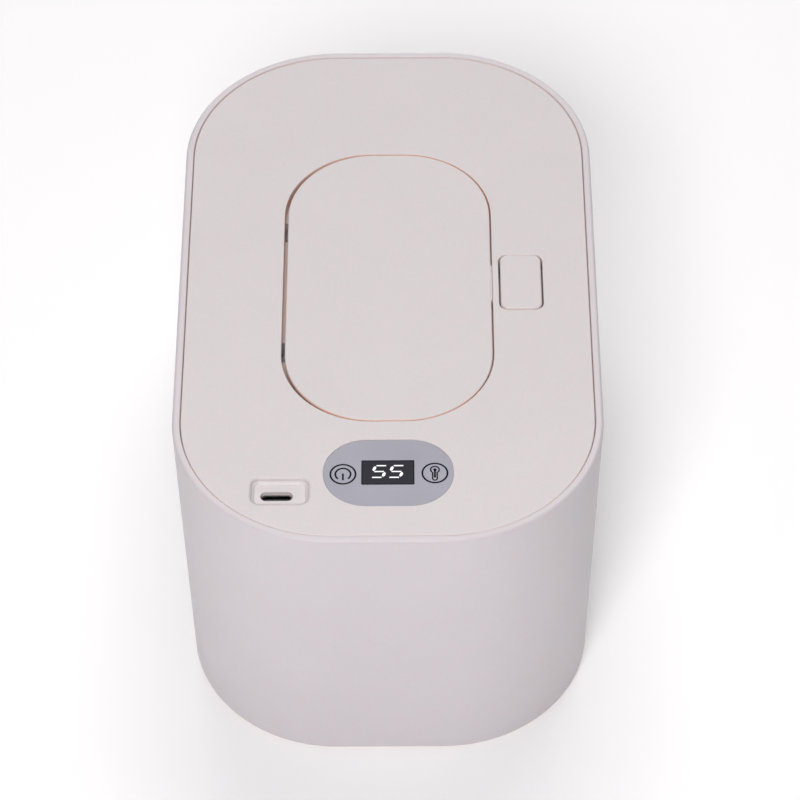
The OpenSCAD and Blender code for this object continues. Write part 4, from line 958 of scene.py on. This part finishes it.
def bar(start, end, width):
    """A lit bar between two corners of a figure, with pointed ends and a hair of gap."""
    along = (end - start).normalized()
    over = Vector((-along.y, along.x)) * width / 2
    a, b = start + along * mitre, end - along * mitre
    inner_a, inner_b = start + along * (mitre + width / 2), end - along * (mitre + width / 2)
    return [a, inner_a - over, inner_b - over, b, inner_b + over, inner_a + over]


# The bars of a 5, from its top, each with its start, end and width
bars, faces = [], []
w, h = digit_w / 2, digit_h / 2
five = (((-w, h), (w, h), flat_t), ((-w, 0), (-w, h), upright_t), ((-w, 0), (w, 0), flat_t),
        ((w, -h), (w, 0), upright_t), ((-w, -h), (w, -h), flat_t))
for shift in (-digit_pitch / 2, digit_pitch / 2):
    for start, end, width in five:
        corners = bar(Vector(start), Vector(end), width)
        first, sides = len(bars), len(corners)
        for z in (window_high.z - sunk, window_high.z + proud):
            bars += [(figure_mid.x + shift + p.x + slant * p.y, figure_mid.y + p.y, z) for p in corners]
        below = list(range(first, first + sides))
        above = [i + sides for i in below]
        faces += [tuple(reversed(below)), tuple(above)]
        faces += [(below[i - 1], below[i], above[i], above[i - 1]) for i in range(sides)]
digits = closed(placed("lit_digits", mesh_of("lit_digits", bars, faces=faces)))
digits.data.materials.append(lit)
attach(digits, "lid")

border_w = 0.3
left_x, right_x = window_low.x + border_w / 2, window_high.x - border_w / 2
near_y, far_y = window_low.y + border_w / 2, window_high.y - border_w / 2
border_line = drawn_line([(left_x, near_y), (right_x, near_y), (right_x, far_y), (left_x, far_y)],
                         border_w, window_high.z + ink_rise, ink, loop=True)
border = joined("window_border", [border_line])
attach(border, "lid")


# Electronics. The display module and the key switches are black moulded resin on a green board
# with its solder mask, and the keys above them are plain ABS.
for node in ("display_module", "key_switches"):
    finish_node(node, epoxy)
for node in ("power_key", "temperature_key"):
    finish_node(node, shell_abs)
mask, tree, place = begin("solder_mask_over_copper")
routes = add(tree, "ShaderNodeTexBrick", {
    "Vector": place, "Scale": per_metre(10), "Mortar Size": 0.03,
    "Color1": linear("#2a5f3c"), "Color2": linear("#2f6b43"), "Mortar": linear("#4b8a5c")})
grain = add(tree, "ShaderNodeTexNoise", {"Vector": place, "Scale": per_metre(0.6), "Detail": 2.0})
bump = add(tree, "ShaderNodeBump", {"Height": grain.outputs["Fac"], "Strength": 0.1, "Distance": 0.03 * MM})
surface(tree, {"Base Color": routes.outputs["Color"], "Roughness": 0.3, "Normal": bump.outputs["Normal"],
               "IOR": 1.55, "Coat Weight": 0.3})
finish_node("control_board", mask)
screws("board_screws", "lid", head_h=0.8, shank_d=1.8, seed=11)


# Charging socket. A drawn shell of nickel-plated steel round a black tongue, upright behind its
# slot in the recess. Inside, both are dark.
nickel, tree, place = begin("nickel_plated_steel")
cloud = add(tree, "ShaderNodeTexNoise", {"Vector": place, "Scale": per_metre(1.5), "Detail": 3.0})
shade = add(tree, "ShaderNodeMix", {
    0: cloud.outputs["Fac"], 6: linear("#8f8e8a"), 7: linear("#b5b3ae")}, data_type="RGBA")
rough = add(tree, "ShaderNodeMapRange", {"Value": cloud.outputs["Fac"], "To Min": 0.2, "To Max": 0.34})
surface(tree, {"Base Color": shade.outputs[2], "Metallic": 1.0, "Roughness": rough.outputs["Result"]})
finish_node("usb_shell", nickel)
finish_node("usb_tongue", epoxy)
